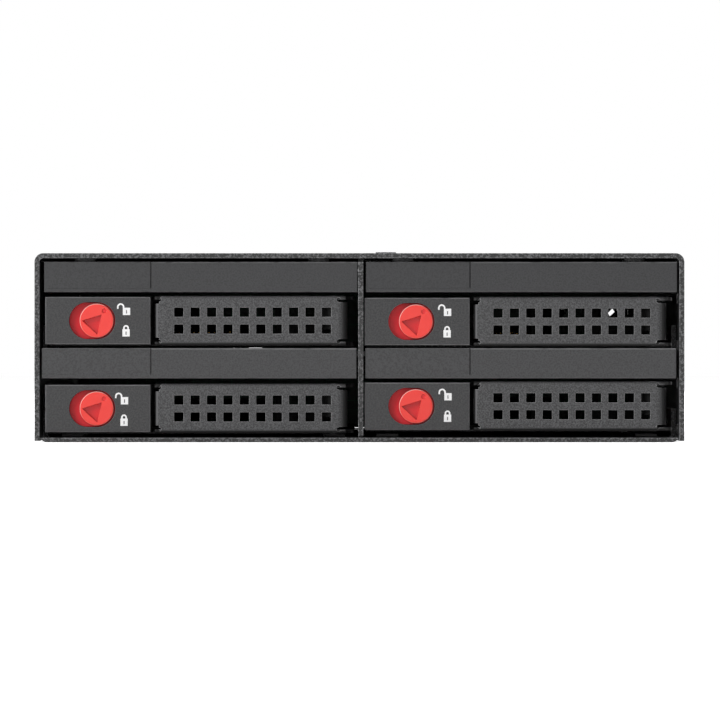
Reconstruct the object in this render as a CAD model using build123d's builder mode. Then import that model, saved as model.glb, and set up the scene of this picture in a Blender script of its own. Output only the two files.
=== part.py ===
from build123d import *
import math
import os

os.makedirs("parts", exist_ok=True)

# Hot swap drive cage for one 5.25 inch bay, with four trays for 2.5 inch drives in two rows of two.
# The front faces -Y, X runs to the right and Z up. The origin is under the middle of the cage.
# Depths are measured from the front edge of the sheet metal, and tray sizes from the tray's own
# front left edge and mid height.

# The drive that a tray holds
drive_width = 69.85
drive_length = 100.2
drive_hole_half_span = 30.86
drive_hole_depths = (14.0, 90.6)
drive_hole_radius = 1.6

# Sheet metal
cover_sheet = 1.1
base_sheet = 1.0
divider_sheet = 1.1
divider_shift = 0.3
divider_front_reveal = 3.0
divider_top_reveal = 0.9
divider_foot_reveal = 0.6
divider_flange_start = 12.5
cover_corner_radius = 2.0
plate_bend_radius = 1.8
wall_lift = 0.3
base_flange_height = 7.5
shelf_flange_height = 6.0
divider_flange_height = 5.0
top_flange_width = 8.0
sheet_slip = 0.1
flange_start = 12.0
foot_width = 8.0
shelf_vent_pitch_x = 14.0
shelf_vent_pitch_y = 22.0
shelf_vent_length = 16.0
shelf_vent_width = 4.0

# Rows and bays
drive_play = 0.5
drive_wall_gap = 0.1
glide_height = 0.7
glide_width = 5.0
glide_length = 98.0
glide_start = 16.0
glide_inset = 3.0

# Bars over the trays
strip_height = 6.9
strip_lap = 0.8
strip_top_gap = 0.8
strip_wall = 1.3
strip_depth = 9.5
strip_web_drop = strip_lap + base_sheet
strip_step = 0.15
strip_seam_width = 0.2
strip_seam_depth = 0.4
strip_seam_stop = 0.9
strip_edge_radius = 0.5
strip_rib_count = 5
strip_rib_step_back = 1.0
strip_pad_radius = 2.6
strip_pad_inset = 9.0
strip_pad_gap = 1.0

# Gaps of each strip beside the wall and beside the divider, as it settles in its screw holes
strip_gaps = {
    "upper_left": (1.05, 0.15),
    "lower_left": (0.5, 0.4),
    "upper_right": (0.5, 0.6),
    "lower_right": (0.7, 0.45),
}

# Tray front
face_depth = 0.5
panel_width = 23.7
panel_height = 10.7
panel_wall = 1.5
panel_edge_radius = 0.35
box_wall = 1.2
box_roof = 1.0
front_depth = 14.0
back_wall = 1.5
lever_gap = 0.95
lever_height = 11.1
under_gap = 0.5
over_gap = 0.9

# Lever
lever_sheet = 0.8
lever_bend = 1.0
lever_end_bend = 2.0
lever_end_gap = 2.3
lever_flange_depth = 3.5
lever_end_flange_height = 8.3
lever_end_flange_depth = 2.6
lever_catch_depth = 5.6
lever_catch_height = 7.6
lever_relief_radius = 0.45
lever_tab_reach = 1.6
vent_hole = 2.1
vent_pitch_z = 3.8
vent_columns = 10
vent_rows = 2
vent_first_column = 5.4
vent_last_column = 4.7

# Hinge of the lever
pin_radius = 1.0
pin_fit = 0.05
pin_inset = 3.0
pin_depth = 3.5
ear_radius = 2.3
ear_reach = 7.0
ear_overlap = 0.5
ear_shoulder = 0.4
toe_reach_x = 3.75
toe_reach_y = 2.6
toe_radius = 0.8
toe_slot_start = 3.9
toe_slot_length = 5.6
toe_slot_height = 2.2
knuckle_radius = 1.9
knuckle_clear = 0.2
knuckle_arm_width = 3.4
spring_wire = 0.34
spring_turns = 3
spring_room = 2.6
spring_leg = 8.0
spring_hold = 1.5
spring_pitch_ratio = 1.35
spring_fit = 0.1
arm_inset = 0.3

# Release slider and key lock
slot_left = 5.4
slot_width = 10.4
slot_height = 8.3
lock_center = 11.6
lock_radius = 3.82
lock_edge_radius = 0.3
lock_stem_depth = 1.0
lock_proud = 0.4
lock_stem_radius = 2.6
lock_fit = 0.05
key_side = 4.6
key_turn = 47.3
key_shift_x = -0.63
key_shift_z = -0.6
key_depth = 1.5
index_x = 1.7
index_z = 2.2
index_radius = 0.5
index_depth = 0.25
slider_plate = 1.6
slider_front_gap = 0.2
slider_corner = 1.2
slider_half_height = 4.1
slider_left = 3.8
slider_right = 19.0
hub_radius = 3.35
hub_length = 4.2
hub_seat_left = 7.2
nose_width = 2.8
nose_depth = 1.8
nose_gap = 0.2
nose_step = 0.7
nose_room = 0.3
nose_root = 1.0
nose_bevel = 1.1
spring_seat_margin = 0.6
cam_thickness = 0.95
cam_radius = 3.3
guide_rib_height = 0.85
guide_rib_depth = 1.0
guide_rib_gap = 0.15
return_spring_radius = 1.3
return_spring_turns = 5

# Tray floor
floor_sheet = 0.8
floor_drop = 5.75
floor_width = 69.4
floor_length = 102.0
floor_corner = 2.0
floor_vent_length = 18.0
floor_vent_width = 5.0
floor_vent_pitch_x = 13.0
floor_vent_pitch_y = 24.0
tongue_depth = 8.4
tongue_left = 0.5
tongue_right = 60.0
drive_front_gap = 2.2
tray_screw_columns = (2.9, 55.0)
tray_screw_depth = 10.6
tray_head_radius = 1.9
tray_boss_radius = 1.9
tray_boss_height = 3.35
window_half_height = 3.0
window_inset = 1.5
rail_gap = 0.6
window_bar = 1.6
window_corner = 0.8
boss_window_low = -0.7
boss_window_wall = 1.0

# How each tray settles in its play, up from its nominal place
tray_rise = {"upper_left": 0.1, "upper_right": -0.1, "lower_left": -0.25, "lower_right": 0.25}

# Backplane and rear end
drive_to_board = 3.5
board_thickness = 1.6
board_edge_gap = 0.6
board_tab_width = 8.0
board_tab_height = 7.0
board_tab_columns_low = (-12.0, 60.0)
board_tab_columns_high = (-45.0, 45.0)
board_screw_rise = 4.0
board_corner = 1.5
board_slot_corner = 1.0
board_slot_half_width = 5.5
lower_slot_columns = (-62.0, -46.0, -30.0, 30.0, 46.0, 62.0)
upper_slot_columns = (-62.0, -46.0, 46.0, 62.0)
lower_slot_rows = (14.4, 22.4)
upper_slot_rows = (29.3, 33.9)
plenum = 17.5
fan_clearance = 0.2
fan_thickness = 10.0
fan_side_gap = 0.4
fan_corner_radius = 2.5
fan_bore_gap = 1.2
fan_hole_inset = 4.0
fan_screw_radius = 1.6
rotor_tip_gap = 0.6
rotor_hub_radius = 10.5
rotor_hub_height = 7.2
rotor_edge_radius = 0.8
rotor_seat_gap = 0.4
hub_wall = 1.2
bearing_clear = 2.5
blade_count = 7
blade_thickness = 0.9
blade_root_depth = 0.5
blade_root_set = (42.0, 8.6)
blade_tip_set = (28.0, 11.0)
strut_count = 4
strut_width = 2.4
strut_depth = 1.5
strut_overlap = 1.0
shaft_radius = 1.0
bearing_wall = 1.4
guard_bar = 1.0
guard_ring_count = 3
window_width = 57.0
window_height = 33.0
window_round = 2.0

# Connectors
drive_connector_width = 43.6
drive_connector_height = 5.2
drive_connector_depth = 7.6
drive_connector_shift = 8.7
drive_connector_rise = 3.5
drive_connector_foot = 2.4
receptacle_inset = 3.2
receptacle_step = 0.8
guide_post_half = 1.0
guide_post_inset = 1.3
contact_slot_height = 1.3
contact_slot_depth = 5.0
contact_slot_inset = 4.2
signal_slot_length = 10.4
contact_slot_gap = 2.0
port_width = 16.6
port_height = 6.0
port_depth = 9.0
port_pitch = 7.0
port_first_height = 12.0
port_center = -14.0
inlet_width = 26.0
inlet_center = 12.0
inlet_heights = (14.0, 31.0)
shell_wall = 0.9
shell_corner = 0.5
shell_floor = 1.5
tongue_inset = 2.2
tongue_thickness = 1.2
header_height = 22.5
header_offset = 5.0
header_width = 7.6
header_block = 3.2
header_pin = 0.64
header_pin_pitch = 2.54
header_pin_length = 9.0

# Screws and mounting holes
screw_radius = 1.2
screw_head_radius = 2.2
pan_head_height = 1.1
fan_screw_length = 6.0
mount_hole_radius = 1.25
mount_hole_spacing = 79.25
mount_hole_first_depth = 47.4
mount_hole_heights = (10.0, 21.84)
catch_tab_left = 3.7
catch_tab_width = 4.5
catch_tab_height = 0.27
catch_tab_depths = (2.0, 9.0)

# Sizes that follow
row_pitch = under_gap + lever_height + over_gap + strip_height
bay_width = drive_width + drive_play
cage_width = 2 * (bay_width + base_sheet + cover_sheet) + divider_sheet
cage_height = base_sheet + 2 * row_pitch + strip_lap + strip_top_gap + cover_sheet
drive_start = front_depth + drive_front_gap
board_front = drive_start + drive_length + drive_to_board
board_rear = board_front + board_thickness
fan_front = board_rear + plenum
fan_rear = fan_front + fan_thickness
cage_depth = fan_rear + base_sheet
wall_inner = cage_width / 2 - cover_sheet
flange_inner = wall_inner - base_sheet
divider_left = divider_shift - divider_sheet / 2
divider_right = divider_shift + divider_sheet / 2
ceiling = cage_height - cover_sheet
drive_center = flange_inner - drive_wall_gap - drive_width / 2
tray_width = bay_width - lever_end_gap - drive_wall_gap
drive_offset = drive_width / 2 - drive_wall_gap - sheet_slip / 2
lever_left = panel_width + lever_gap
lever_right = tray_width
pin_x = lever_right - pin_inset
vent_span = lever_right - lever_left - vent_first_column - vent_last_column
vent_pitch_x = vent_span / (vent_columns - 1)
slider_front = face_depth + panel_wall + slider_front_gap
slider_back = slider_front + slider_plate + hub_length
nose_front = slider_front + nose_step
shelf_end = board_front - sheet_slip
shelf_start = face_depth + strip_wall + sheet_slip

rows = {"lower": 0.0, "upper": row_pitch}
sides = {"left": -1, "right": 1}
shelf_tops = {row: base_sheet + rise for row, rise in rows.items()}


def front_view(depth):
    """A plane that faces the front, at a depth behind the front edge: u is X and v is Z."""
    return Plane(origin=(0, depth - cage_depth / 2, 0), x_dir=(1, 0, 0), z_dir=(0, -1, 0))


def top_view(height):
    """A level plane whose v is measured from the front edge: u is X."""
    return Plane(origin=(0, -cage_depth / 2, height))


def side_view(x):
    """An upright plane across X: u is the depth behind the front edge and v is Z."""
    return Plane(origin=(x, -cage_depth / 2, 0), x_dir=(0, 1, 0), z_dir=(1, 0, 0))


def rectangle(plane, u, v, thickness, mode=Mode.ADD, corner=0.0):
    """Adds or cuts a rectangular plate between the limits u and v, extruded along the plane's normal."""
    with BuildSketch(plane) as outline:
        with Locations(((u[0] + u[1]) / 2, (v[0] + v[1]) / 2)):
            Rectangle(u[1] - u[0], v[1] - v[0])
        if corner:
            fillet(outline.vertices(), corner)
    extrude(outline.sketch, amount=thickness, mode=mode)


def disc(plane, u, v, radius, thickness, mode=Mode.ADD):
    """Adds or cuts a round post or hole, extruded along the plane's normal."""
    with BuildSketch(plane) as outline:
        with Locations((u, v)):
            Circle(radius)
    extrude(outline.sketch, amount=thickness, mode=mode)


def save(builder, name):
    """Labels a finished piece and writes it under its node's name."""
    builder.part.label = name
    export_step(builder.part, f"parts/{name}.step")


def screw_place(x, depth, z, outward):
    """The plane of a screw head's outer face; its normal points out of the material."""
    return Plane(origin=(x, depth - cage_depth / 2, z), z_dir=outward)


def countersunk_hole(place, depth, head_radius=screw_head_radius):
    """Cuts the hole of a countersunk screw."""
    with Locations(place):
        CounterSinkHole(screw_radius, head_radius, depth, counter_sink_angle=90)


def countersunk_screw(place, length, head_radius=screw_head_radius):
    """Adds a countersunk screw with its head flush in the plane."""
    head = head_radius - screw_radius
    with Locations(place):
        Cylinder(screw_radius, length, align=(Align.CENTER, Align.CENTER, Align.MAX))
        Cone(screw_radius, head_radius, head, align=(Align.CENTER, Align.CENTER, Align.MAX))


def pan_screw(place, length):
    """Adds a pan head screw whose head stands on the plane."""
    with Locations(place):
        Cylinder(screw_radius, length, align=(Align.CENTER, Align.CENTER, Align.MAX))
        Cylinder(screw_head_radius, pan_head_height, align=(Align.CENTER, Align.CENTER, Align.MIN))


def bay_limits(side):
    """The X limits of the room for a drive and its tray on one side of the divider."""
    if side == "left":
        return (-flange_inner, divider_left)
    return (divider_right, flange_inner)


def tray_origin(row, side):
    """X and Z of a tray's own origin: the left edge and mid height of its front."""
    x = sides[side] * drive_center - drive_offset
    z = base_sheet + strip_lap + under_gap + lever_height / 2 + rows[row]
    return x, z + tray_rise[f"{row}_{side}"]


# Places of the screws that hold the sheets together
shelf_screw_depths = (25.0, 105.0)
base_screw_depths = (25.0, 105.0)
base_screw_height = 4.6
shelf_screw_rise = 3.2
divider_screw_depths = (30.0, 70.0, 110.0)
divider_screw_drop = 2.9
top_screw_depths = (30.0, 100.0)
rear_flange_depth = 7.0
rear_flange_drop = 3.0
rear_screw_heights = (12.0, 32.0)
rear_screw_depth = cage_depth - base_sheet - rear_flange_depth / 2

side_screws = []
for side, sign in sides.items():
    for depth in base_screw_depths:
        side_screws.append((sign * cage_width / 2, depth, base_screw_height, sign))
    for depth in shelf_screw_depths:
        side_screws.append((sign * cage_width / 2, depth, shelf_tops["upper"] + shelf_screw_rise, sign))
    for height in rear_screw_heights:
        side_screws.append((sign * cage_width / 2, rear_screw_depth, height, sign))

strip_screw_depth = face_depth + strip_wall + strip_pad_radius + strip_pad_gap


def strip_screw_columns(side):
    """X of the two screws of a strip."""
    low, high = bay_limits(side)
    return (low + strip_pad_inset, high - strip_pad_inset)


divider_top_screw_x = divider_right + top_flange_width / 2


def cut_toe_slots(sheet_x, thickness, side, rows_cut):
    """Cuts the slots beside a lever's two toes through an upright sheet."""
    for row in rows_cut:
        toe_z = tray_origin(row, side)[1]
        for end in (-1, 1):
            middle = toe_z + end * (lever_height / 2 - lever_sheet / 2)
            rectangle(
                side_view(sheet_x),
                (toe_slot_start, toe_slot_start + toe_slot_length),
                (middle - toe_slot_height / 2, middle + toe_slot_height / 2),
                thickness,
                Mode.SUBTRACT,
            )


# Top cover: one U of sheet, the top and both side walls
with BuildPart() as top_cover:
    with BuildSketch(front_view(0)) as section:
        with Locations((0, (cage_height + wall_lift) / 2)):
            Rectangle(cage_width, cage_height - wall_lift)
        fillet(section.vertices().group_by(Axis.Y)[-1], cover_corner_radius)
        with Locations((0, (ceiling + wall_lift) / 2)):
            Rectangle(2 * wall_inner, ceiling - wall_lift, mode=Mode.SUBTRACT)
        inner_corners = section.vertices().filter_by_position(Axis.Y, ceiling - 0.01, ceiling + 0.01)
        fillet(inner_corners, cover_corner_radius - cover_sheet)
    extrude(section.sketch, amount=-cage_depth)
    for x, depth, z, sign in side_screws:
        countersunk_hole(screw_place(x, depth, z, (sign, 0, 0)), 2 * cover_sheet)
    for side in sides:
        for x in strip_screw_columns(side):
            countersunk_hole(screw_place(x, strip_screw_depth, cage_height, (0, 0, 1)), 2 * cover_sheet)
    for depth in top_screw_depths:
        place = screw_place(divider_top_screw_x, depth, cage_height, (0, 0, 1))
        countersunk_hole(place, 2 * cover_sheet)
    for sign in sides.values():
        for depth in (mount_hole_first_depth, mount_hole_first_depth + mount_hole_spacing):
            for height in mount_hole_heights:
                start = side_view(sign * wall_inner)
                disc(start, depth, height, mount_hole_radius, sign * 2 * cover_sheet, Mode.SUBTRACT)
    cut_toe_slots(wall_inner - sheet_slip, 2 * cover_sheet, "right", rows)
    for x in board_tab_columns_high:
        tab_x = (x - board_tab_width / 2, x + board_tab_width / 2)
        rectangle(front_view(board_rear), tab_x, (ceiling - board_tab_height, ceiling), -cover_sheet)
        hole_z = ceiling - board_screw_rise
        disc(front_view(board_rear), x, hole_z, screw_radius, -cover_sheet, Mode.SUBTRACT)
    rectangle(
        top_view(cage_height),
        (catch_tab_left, catch_tab_left + catch_tab_width),
        catch_tab_depths,
        catch_tab_height,
    )
save(top_cover, "top_cover")

# Bottom plate: lies between the side walls, with flanges bent up inside them
with BuildPart() as bottom_plate:
    with BuildSketch(front_view(0)) as section:
        with Locations((0, base_flange_height / 2)):
            Rectangle(2 * wall_inner, base_flange_height)
        fillet(section.vertices().group_by(Axis.Y)[0], plate_bend_radius)
        with Locations((0, (base_flange_height + base_sheet) / 2)):
            Rectangle(2 * flange_inner, base_flange_height - base_sheet, mode=Mode.SUBTRACT)
        bends = section.vertices().filter_by_position(Axis.Y, base_sheet - 0.01, base_sheet + 0.01)
        fillet(bends, plate_bend_radius - base_sheet)
    extrude(section.sketch, amount=-cage_depth)
    # The flanges run from behind the trays' fronts to just before the rear panel
    for start, length in ((0, flange_start), (fan_rear - sheet_slip, cage_depth)):
        rectangle(
            front_view(start),
            (-cage_width, cage_width),
            (base_sheet, cage_height),
            -length,
            Mode.SUBTRACT,
        )
    for sign in sides.values():
        for depth in base_screw_depths:
            start = side_view(sign * flange_inner - sign * sheet_slip)
            disc(start, depth, base_screw_height, screw_radius, sign * 2 * base_sheet, Mode.SUBTRACT)
    # Slots for the divider's three feet
    for depth in divider_screw_depths:
        rectangle(
            top_view(0),
            (divider_left, divider_right),
            (depth - foot_width / 2, depth + foot_width / 2),
            base_sheet,
            Mode.SUBTRACT,
        )
    for x in board_tab_columns_low:
        tab_x = (x - board_tab_width / 2, x + board_tab_width / 2)
        tab_z = (base_sheet, base_sheet + board_tab_height)
        rectangle(front_view(board_rear), tab_x, tab_z, -base_sheet)
        hole_z = base_sheet + board_screw_rise
        disc(front_view(board_rear), x, hole_z, screw_radius, -base_sheet, Mode.SUBTRACT)
save(bottom_plate, "bottom_plate")

# Center divider: upright sheet with feet in the bottom plate and a flange under the top
with BuildPart() as center_divider:
    rectangle(side_view(divider_left), (0, shelf_end), (base_sheet, ceiling), divider_sheet)
    for depth in divider_screw_depths:
        foot_y = (depth - foot_width / 2, depth + foot_width / 2)
        rectangle(side_view(divider_left), foot_y, (0, base_sheet), divider_sheet)
        hole_z = shelf_tops["upper"] - base_sheet - divider_screw_drop
        disc(side_view(divider_left), depth, hole_z, screw_radius, divider_sheet, Mode.SUBTRACT)
    flange_x = (divider_right, divider_right + top_flange_width)
    flange_y = (divider_flange_start, shelf_end)
    rectangle(top_view(ceiling), flange_x, flange_y, -divider_sheet)
    for depth in top_screw_depths:
        disc(top_view(ceiling), divider_top_screw_x, depth, screw_radius, -divider_sheet, Mode.SUBTRACT)
    cut_toe_slots(divider_left - sheet_slip, 2 * divider_sheet, "left", rows)
    # The front edge stops short of the cover and of the bottom plate
    for reveal_z in ((ceiling - divider_top_reveal, ceiling), (base_sheet, base_sheet + divider_foot_reveal)):
        rectangle(
            side_view(divider_left),
            (0, divider_front_reveal),
            reveal_z,
            divider_sheet,
            Mode.SUBTRACT,
        )
save(center_divider, "center_divider")

# Shelves: carry the upper trays, with a flange up at the wall and one down at the divider
for side, sign in sides.items():
    low, high = bay_limits(side)
    near = high if side == "left" else low
    shelf_top = shelf_tops["upper"]
    with BuildPart() as shelf:
        span = (-wall_inner, near) if side == "left" else (near, wall_inner)
        rectangle(top_view(shelf_top), (low, high), (shelf_start, shelf_end), -base_sheet)
        rectangle(top_view(shelf_top), span, (flange_start, shelf_end), -base_sheet)
        outer_sheet = sign * base_sheet
        inner_sheet = -sign * base_sheet
        rectangle(
            side_view(sign * flange_inner),
            (flange_start, shelf_end),
            (shelf_top - base_sheet, shelf_top + shelf_flange_height),
            outer_sheet,
        )
        rectangle(
            side_view(near),
            (shelf_start + strip_depth, shelf_end),
            (shelf_top - base_sheet - divider_flange_height, shelf_top - base_sheet),
            -inner_sheet,
        )
        for depth in shelf_screw_depths:
            z = shelf_top + shelf_screw_rise
            disc(side_view(sign * flange_inner), depth, z, screw_radius, outer_sheet, Mode.SUBTRACT)
        for depth in divider_screw_depths:
            z = shelf_top - base_sheet - divider_screw_drop
            disc(side_view(near), depth, z, screw_radius, -inner_sheet, Mode.SUBTRACT)
        # Room for the mounting screws that come through the wall
        height = mount_hole_heights[1]
        start = side_view(sign * flange_inner)
        disc(start, mount_hole_first_depth, height, 2 * mount_hole_radius, outer_sheet, Mode.SUBTRACT)
        for x in strip_screw_columns(side):
            place = screw_place(x, strip_screw_depth, shelf_top, (0, 0, 1))
            countersunk_hole(place, 2 * base_sheet)
        # Air slots in three rows
        with BuildSketch(top_view(shelf_top)) as vents:
            middle = (low + high) / 2
            with Locations((middle, (shelf_start + shelf_end) / 2 + strip_depth / 2)):
                with GridLocations(shelf_vent_pitch_x, shelf_vent_pitch_y, 3, 4):
                    SlotOverall(shelf_vent_length, shelf_vent_width, rotation=90)
        extrude(vents.sketch, amount=-base_sheet, mode=Mode.SUBTRACT)
    save(shelf, f"shelf_{side}")

# Strips: the moulded bars over the trays, open to the rear, with ribs and screw pads
for row in rows:
    for side in sides:
        wall_gap, divider_gap = strip_gaps[f"{row}_{side}"]
        if side == "left":
            left, right = -wall_inner + wall_gap, divider_left - divider_gap
        else:
            left, right = divider_right + divider_gap, wall_inner - wall_gap
        top = shelf_tops[row] + row_pitch + strip_lap
        bottom = top - strip_height
        web_top = top - strip_web_drop
        seat = ceiling if row == "upper" else shelf_tops["upper"] - base_sheet
        seam_x = tray_origin(row, side)[0] + panel_width
        with BuildPart() as strip:
            with BuildSketch(side_view(left)) as section:
                with BuildLine():
                    Polyline(
                        (face_depth, bottom),
                        (strip_depth, bottom),
                        (strip_depth, bottom + strip_wall),
                        (face_depth + strip_wall, bottom + strip_wall),
                        (face_depth + strip_wall, web_top - strip_wall),
                        (strip_depth, web_top - strip_wall),
                        (strip_depth, web_top),
                        (face_depth + strip_wall, web_top),
                        (face_depth + strip_wall, top),
                        (face_depth, top),
                        close=True,
                    )
                make_face()
                fillet(section.vertices().group_by(Axis.X)[0], strip_edge_radius)
            extrude(section.sketch, amount=right - left)
            rib_step = (right - left - strip_wall) / (strip_rib_count - 1)
            for n in range(strip_rib_count):
                rectangle(
                    side_view(left + n * rib_step),
                    (face_depth + strip_wall, strip_depth - strip_rib_step_back),
                    (bottom + strip_wall, web_top - strip_wall),
                    strip_wall,
                )
            # The face left of the seam lies a little deeper, and a fine seam divides the two
            rectangle(
                front_view(0),
                (left - 1, seam_x),
                (bottom + strip_seam_stop, top + 1),
                -(face_depth + strip_step),
                Mode.SUBTRACT,
            )
            rectangle(
                front_view(0),
                (seam_x, seam_x + strip_seam_width),
                (bottom + strip_seam_stop, top + 1),
                -(face_depth + strip_seam_depth),
                Mode.SUBTRACT,
            )
            for x in strip_screw_columns(side):
                if seat > web_top:
                    disc(top_view(web_top), x, strip_screw_depth, strip_pad_radius, seat - web_top)
                disc(top_view(seat), x, strip_screw_depth, screw_radius, -strip_height, Mode.SUBTRACT)
        save(strip, f"strip_{row}_{side}")

# Glide strips: two under each tray
with BuildPart() as glide_strips:
    for row in rows:
        for side in sides:
            low, high = bay_limits(side)
            for start in (low + glide_inset, high - glide_inset - glide_width):
                rectangle(
                    top_view(shelf_tops[row]),
                    (start, start + glide_width),
                    (glide_start, glide_start + glide_length),
                    glide_height,
                )
save(glide_strips, "glide_strips")

# Backplane: circuit board with air slots
board_half_width = flange_inner - board_edge_gap
board_bottom = base_sheet + board_edge_gap
board_top = ceiling - board_edge_gap
with BuildPart() as backplane:
    rectangle(
        front_view(board_front),
        (-board_half_width, board_half_width),
        (board_bottom, board_top),
        -board_thickness,
        corner=board_corner,
    )
    for columns, slot_rows in ((lower_slot_columns, lower_slot_rows), (upper_slot_columns, upper_slot_rows)):
        for x in columns:
            rectangle(
                front_view(board_front),
                (x - board_slot_half_width, x + board_slot_half_width),
                slot_rows,
                -board_thickness,
                Mode.SUBTRACT,
                corner=board_slot_corner,
            )
    for x in board_tab_columns_low:
        z = base_sheet + board_screw_rise
        disc(front_view(board_front), x, z, screw_radius, -board_thickness, Mode.SUBTRACT)
    for x in board_tab_columns_high:
        z = ceiling - board_screw_rise
        disc(front_view(board_front), x, z, screw_radius, -board_thickness, Mode.SUBTRACT)
save(backplane, "backplane")


def drive_connector_center(row, side):
    """X and Z of the middle of a drive connector."""
    z = tray_origin(row, side)[1] - floor_drop + floor_sheet + drive_connector_rise
    return sides[side] * drive_center - drive_connector_shift, z


# Drive connectors: receptacles with a guide post at each end and two contact slots
with BuildPart() as drive_connectors:
    for row in rows:
        for side in sides:
            x, z = drive_connector_center(row, side)
            half = drive_connector_width / 2
            tall = drive_connector_height / 2
            foot_z = (z - tall, z + tall)
            rectangle(front_view(board_front), (x - half, x + half), foot_z, drive_connector_foot)
            rectangle(
                front_view(board_front),
                (x - half + receptacle_inset, x + half - receptacle_inset),
                (z - tall + receptacle_step, z + tall - receptacle_step),
                drive_connector_depth,
            )
            for end in (-1, 1):
                post = x + end * (half - guide_post_inset)
                post_x = (post - guide_post_half, post + guide_post_half)
                post_z = (z - guide_post_inset, z + guide_post_inset)
                rectangle(front_view(board_front), post_x, post_z, drive_connector_depth)
            slot_mouth = front_view(board_front - drive_connector_depth)
            signal_x = (x - half + contact_slot_inset, x - half + contact_slot_inset + signal_slot_length)
            power_x = (signal_x[1] + contact_slot_gap, x + half - contact_slot_inset)
            slot_z = (z - contact_slot_height / 2, z + contact_slot_height / 2)
            for slot_x in (signal_x, power_x):
                rectangle(slot_mouth, slot_x, slot_z, -contact_slot_depth, Mode.SUBTRACT)
save(drive_connectors, "drive_connectors")


def port(x, z, width):
    """Adds a shrouded port with a contact tongue at the rear of the backplane."""
    tall = port_height / 2
    half = width / 2
    rectangle(
        front_view(board_rear),
        (x - half, x + half),
        (z - tall, z + tall),
        -port_depth,
        corner=shell_corner,
    )
    cavity = front_view(board_rear + port_depth)
    cavity_x = (x - half + shell_wall, x + half - shell_wall)
    cavity_z = (z - tall + shell_wall, z + tall - shell_wall)
    rectangle(cavity, cavity_x, cavity_z, port_depth - shell_floor, Mode.SUBTRACT)
    tongue_x = (x - half + tongue_inset, x + half - tongue_inset)
    tongue_z = (z - tongue_thickness / 2, z + tongue_thickness / 2)
    rectangle(front_view(board_rear + shell_floor / 2), tongue_x, tongue_z, -(port_depth - shell_floor))


with BuildPart() as data_ports:
    for n in range(4):
        port(port_center, port_first_height + n * port_pitch, port_width)
save(data_ports, "data_ports")

with BuildPart() as power_inlets:
    for z in inlet_heights:
        port(inlet_center, z, inlet_width)
save(power_inlets, "power_inlets")

# Fan headers: one for each fan, with three pins
with BuildPart() as fan_headers:
    for sign in sides.values():
        x = inlet_center + sign * header_offset
        block_z = (header_height - header_block / 2, header_height + header_block / 2)
        block_x = (x - header_width / 2, x + header_width / 2)
        rectangle(front_view(board_rear), block_x, block_z, -header_block)
        for step in (-1, 0, 1):
            pin = x + step * header_pin_pitch
            pin_u = (pin - header_pin / 2, pin + header_pin / 2)
            pin_v = (header_height - header_pin / 2, header_height + header_pin / 2)
            rectangle(front_view(board_rear), pin_u, pin_v, -header_pin_length)
save(fan_headers, "fan_headers")

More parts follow.
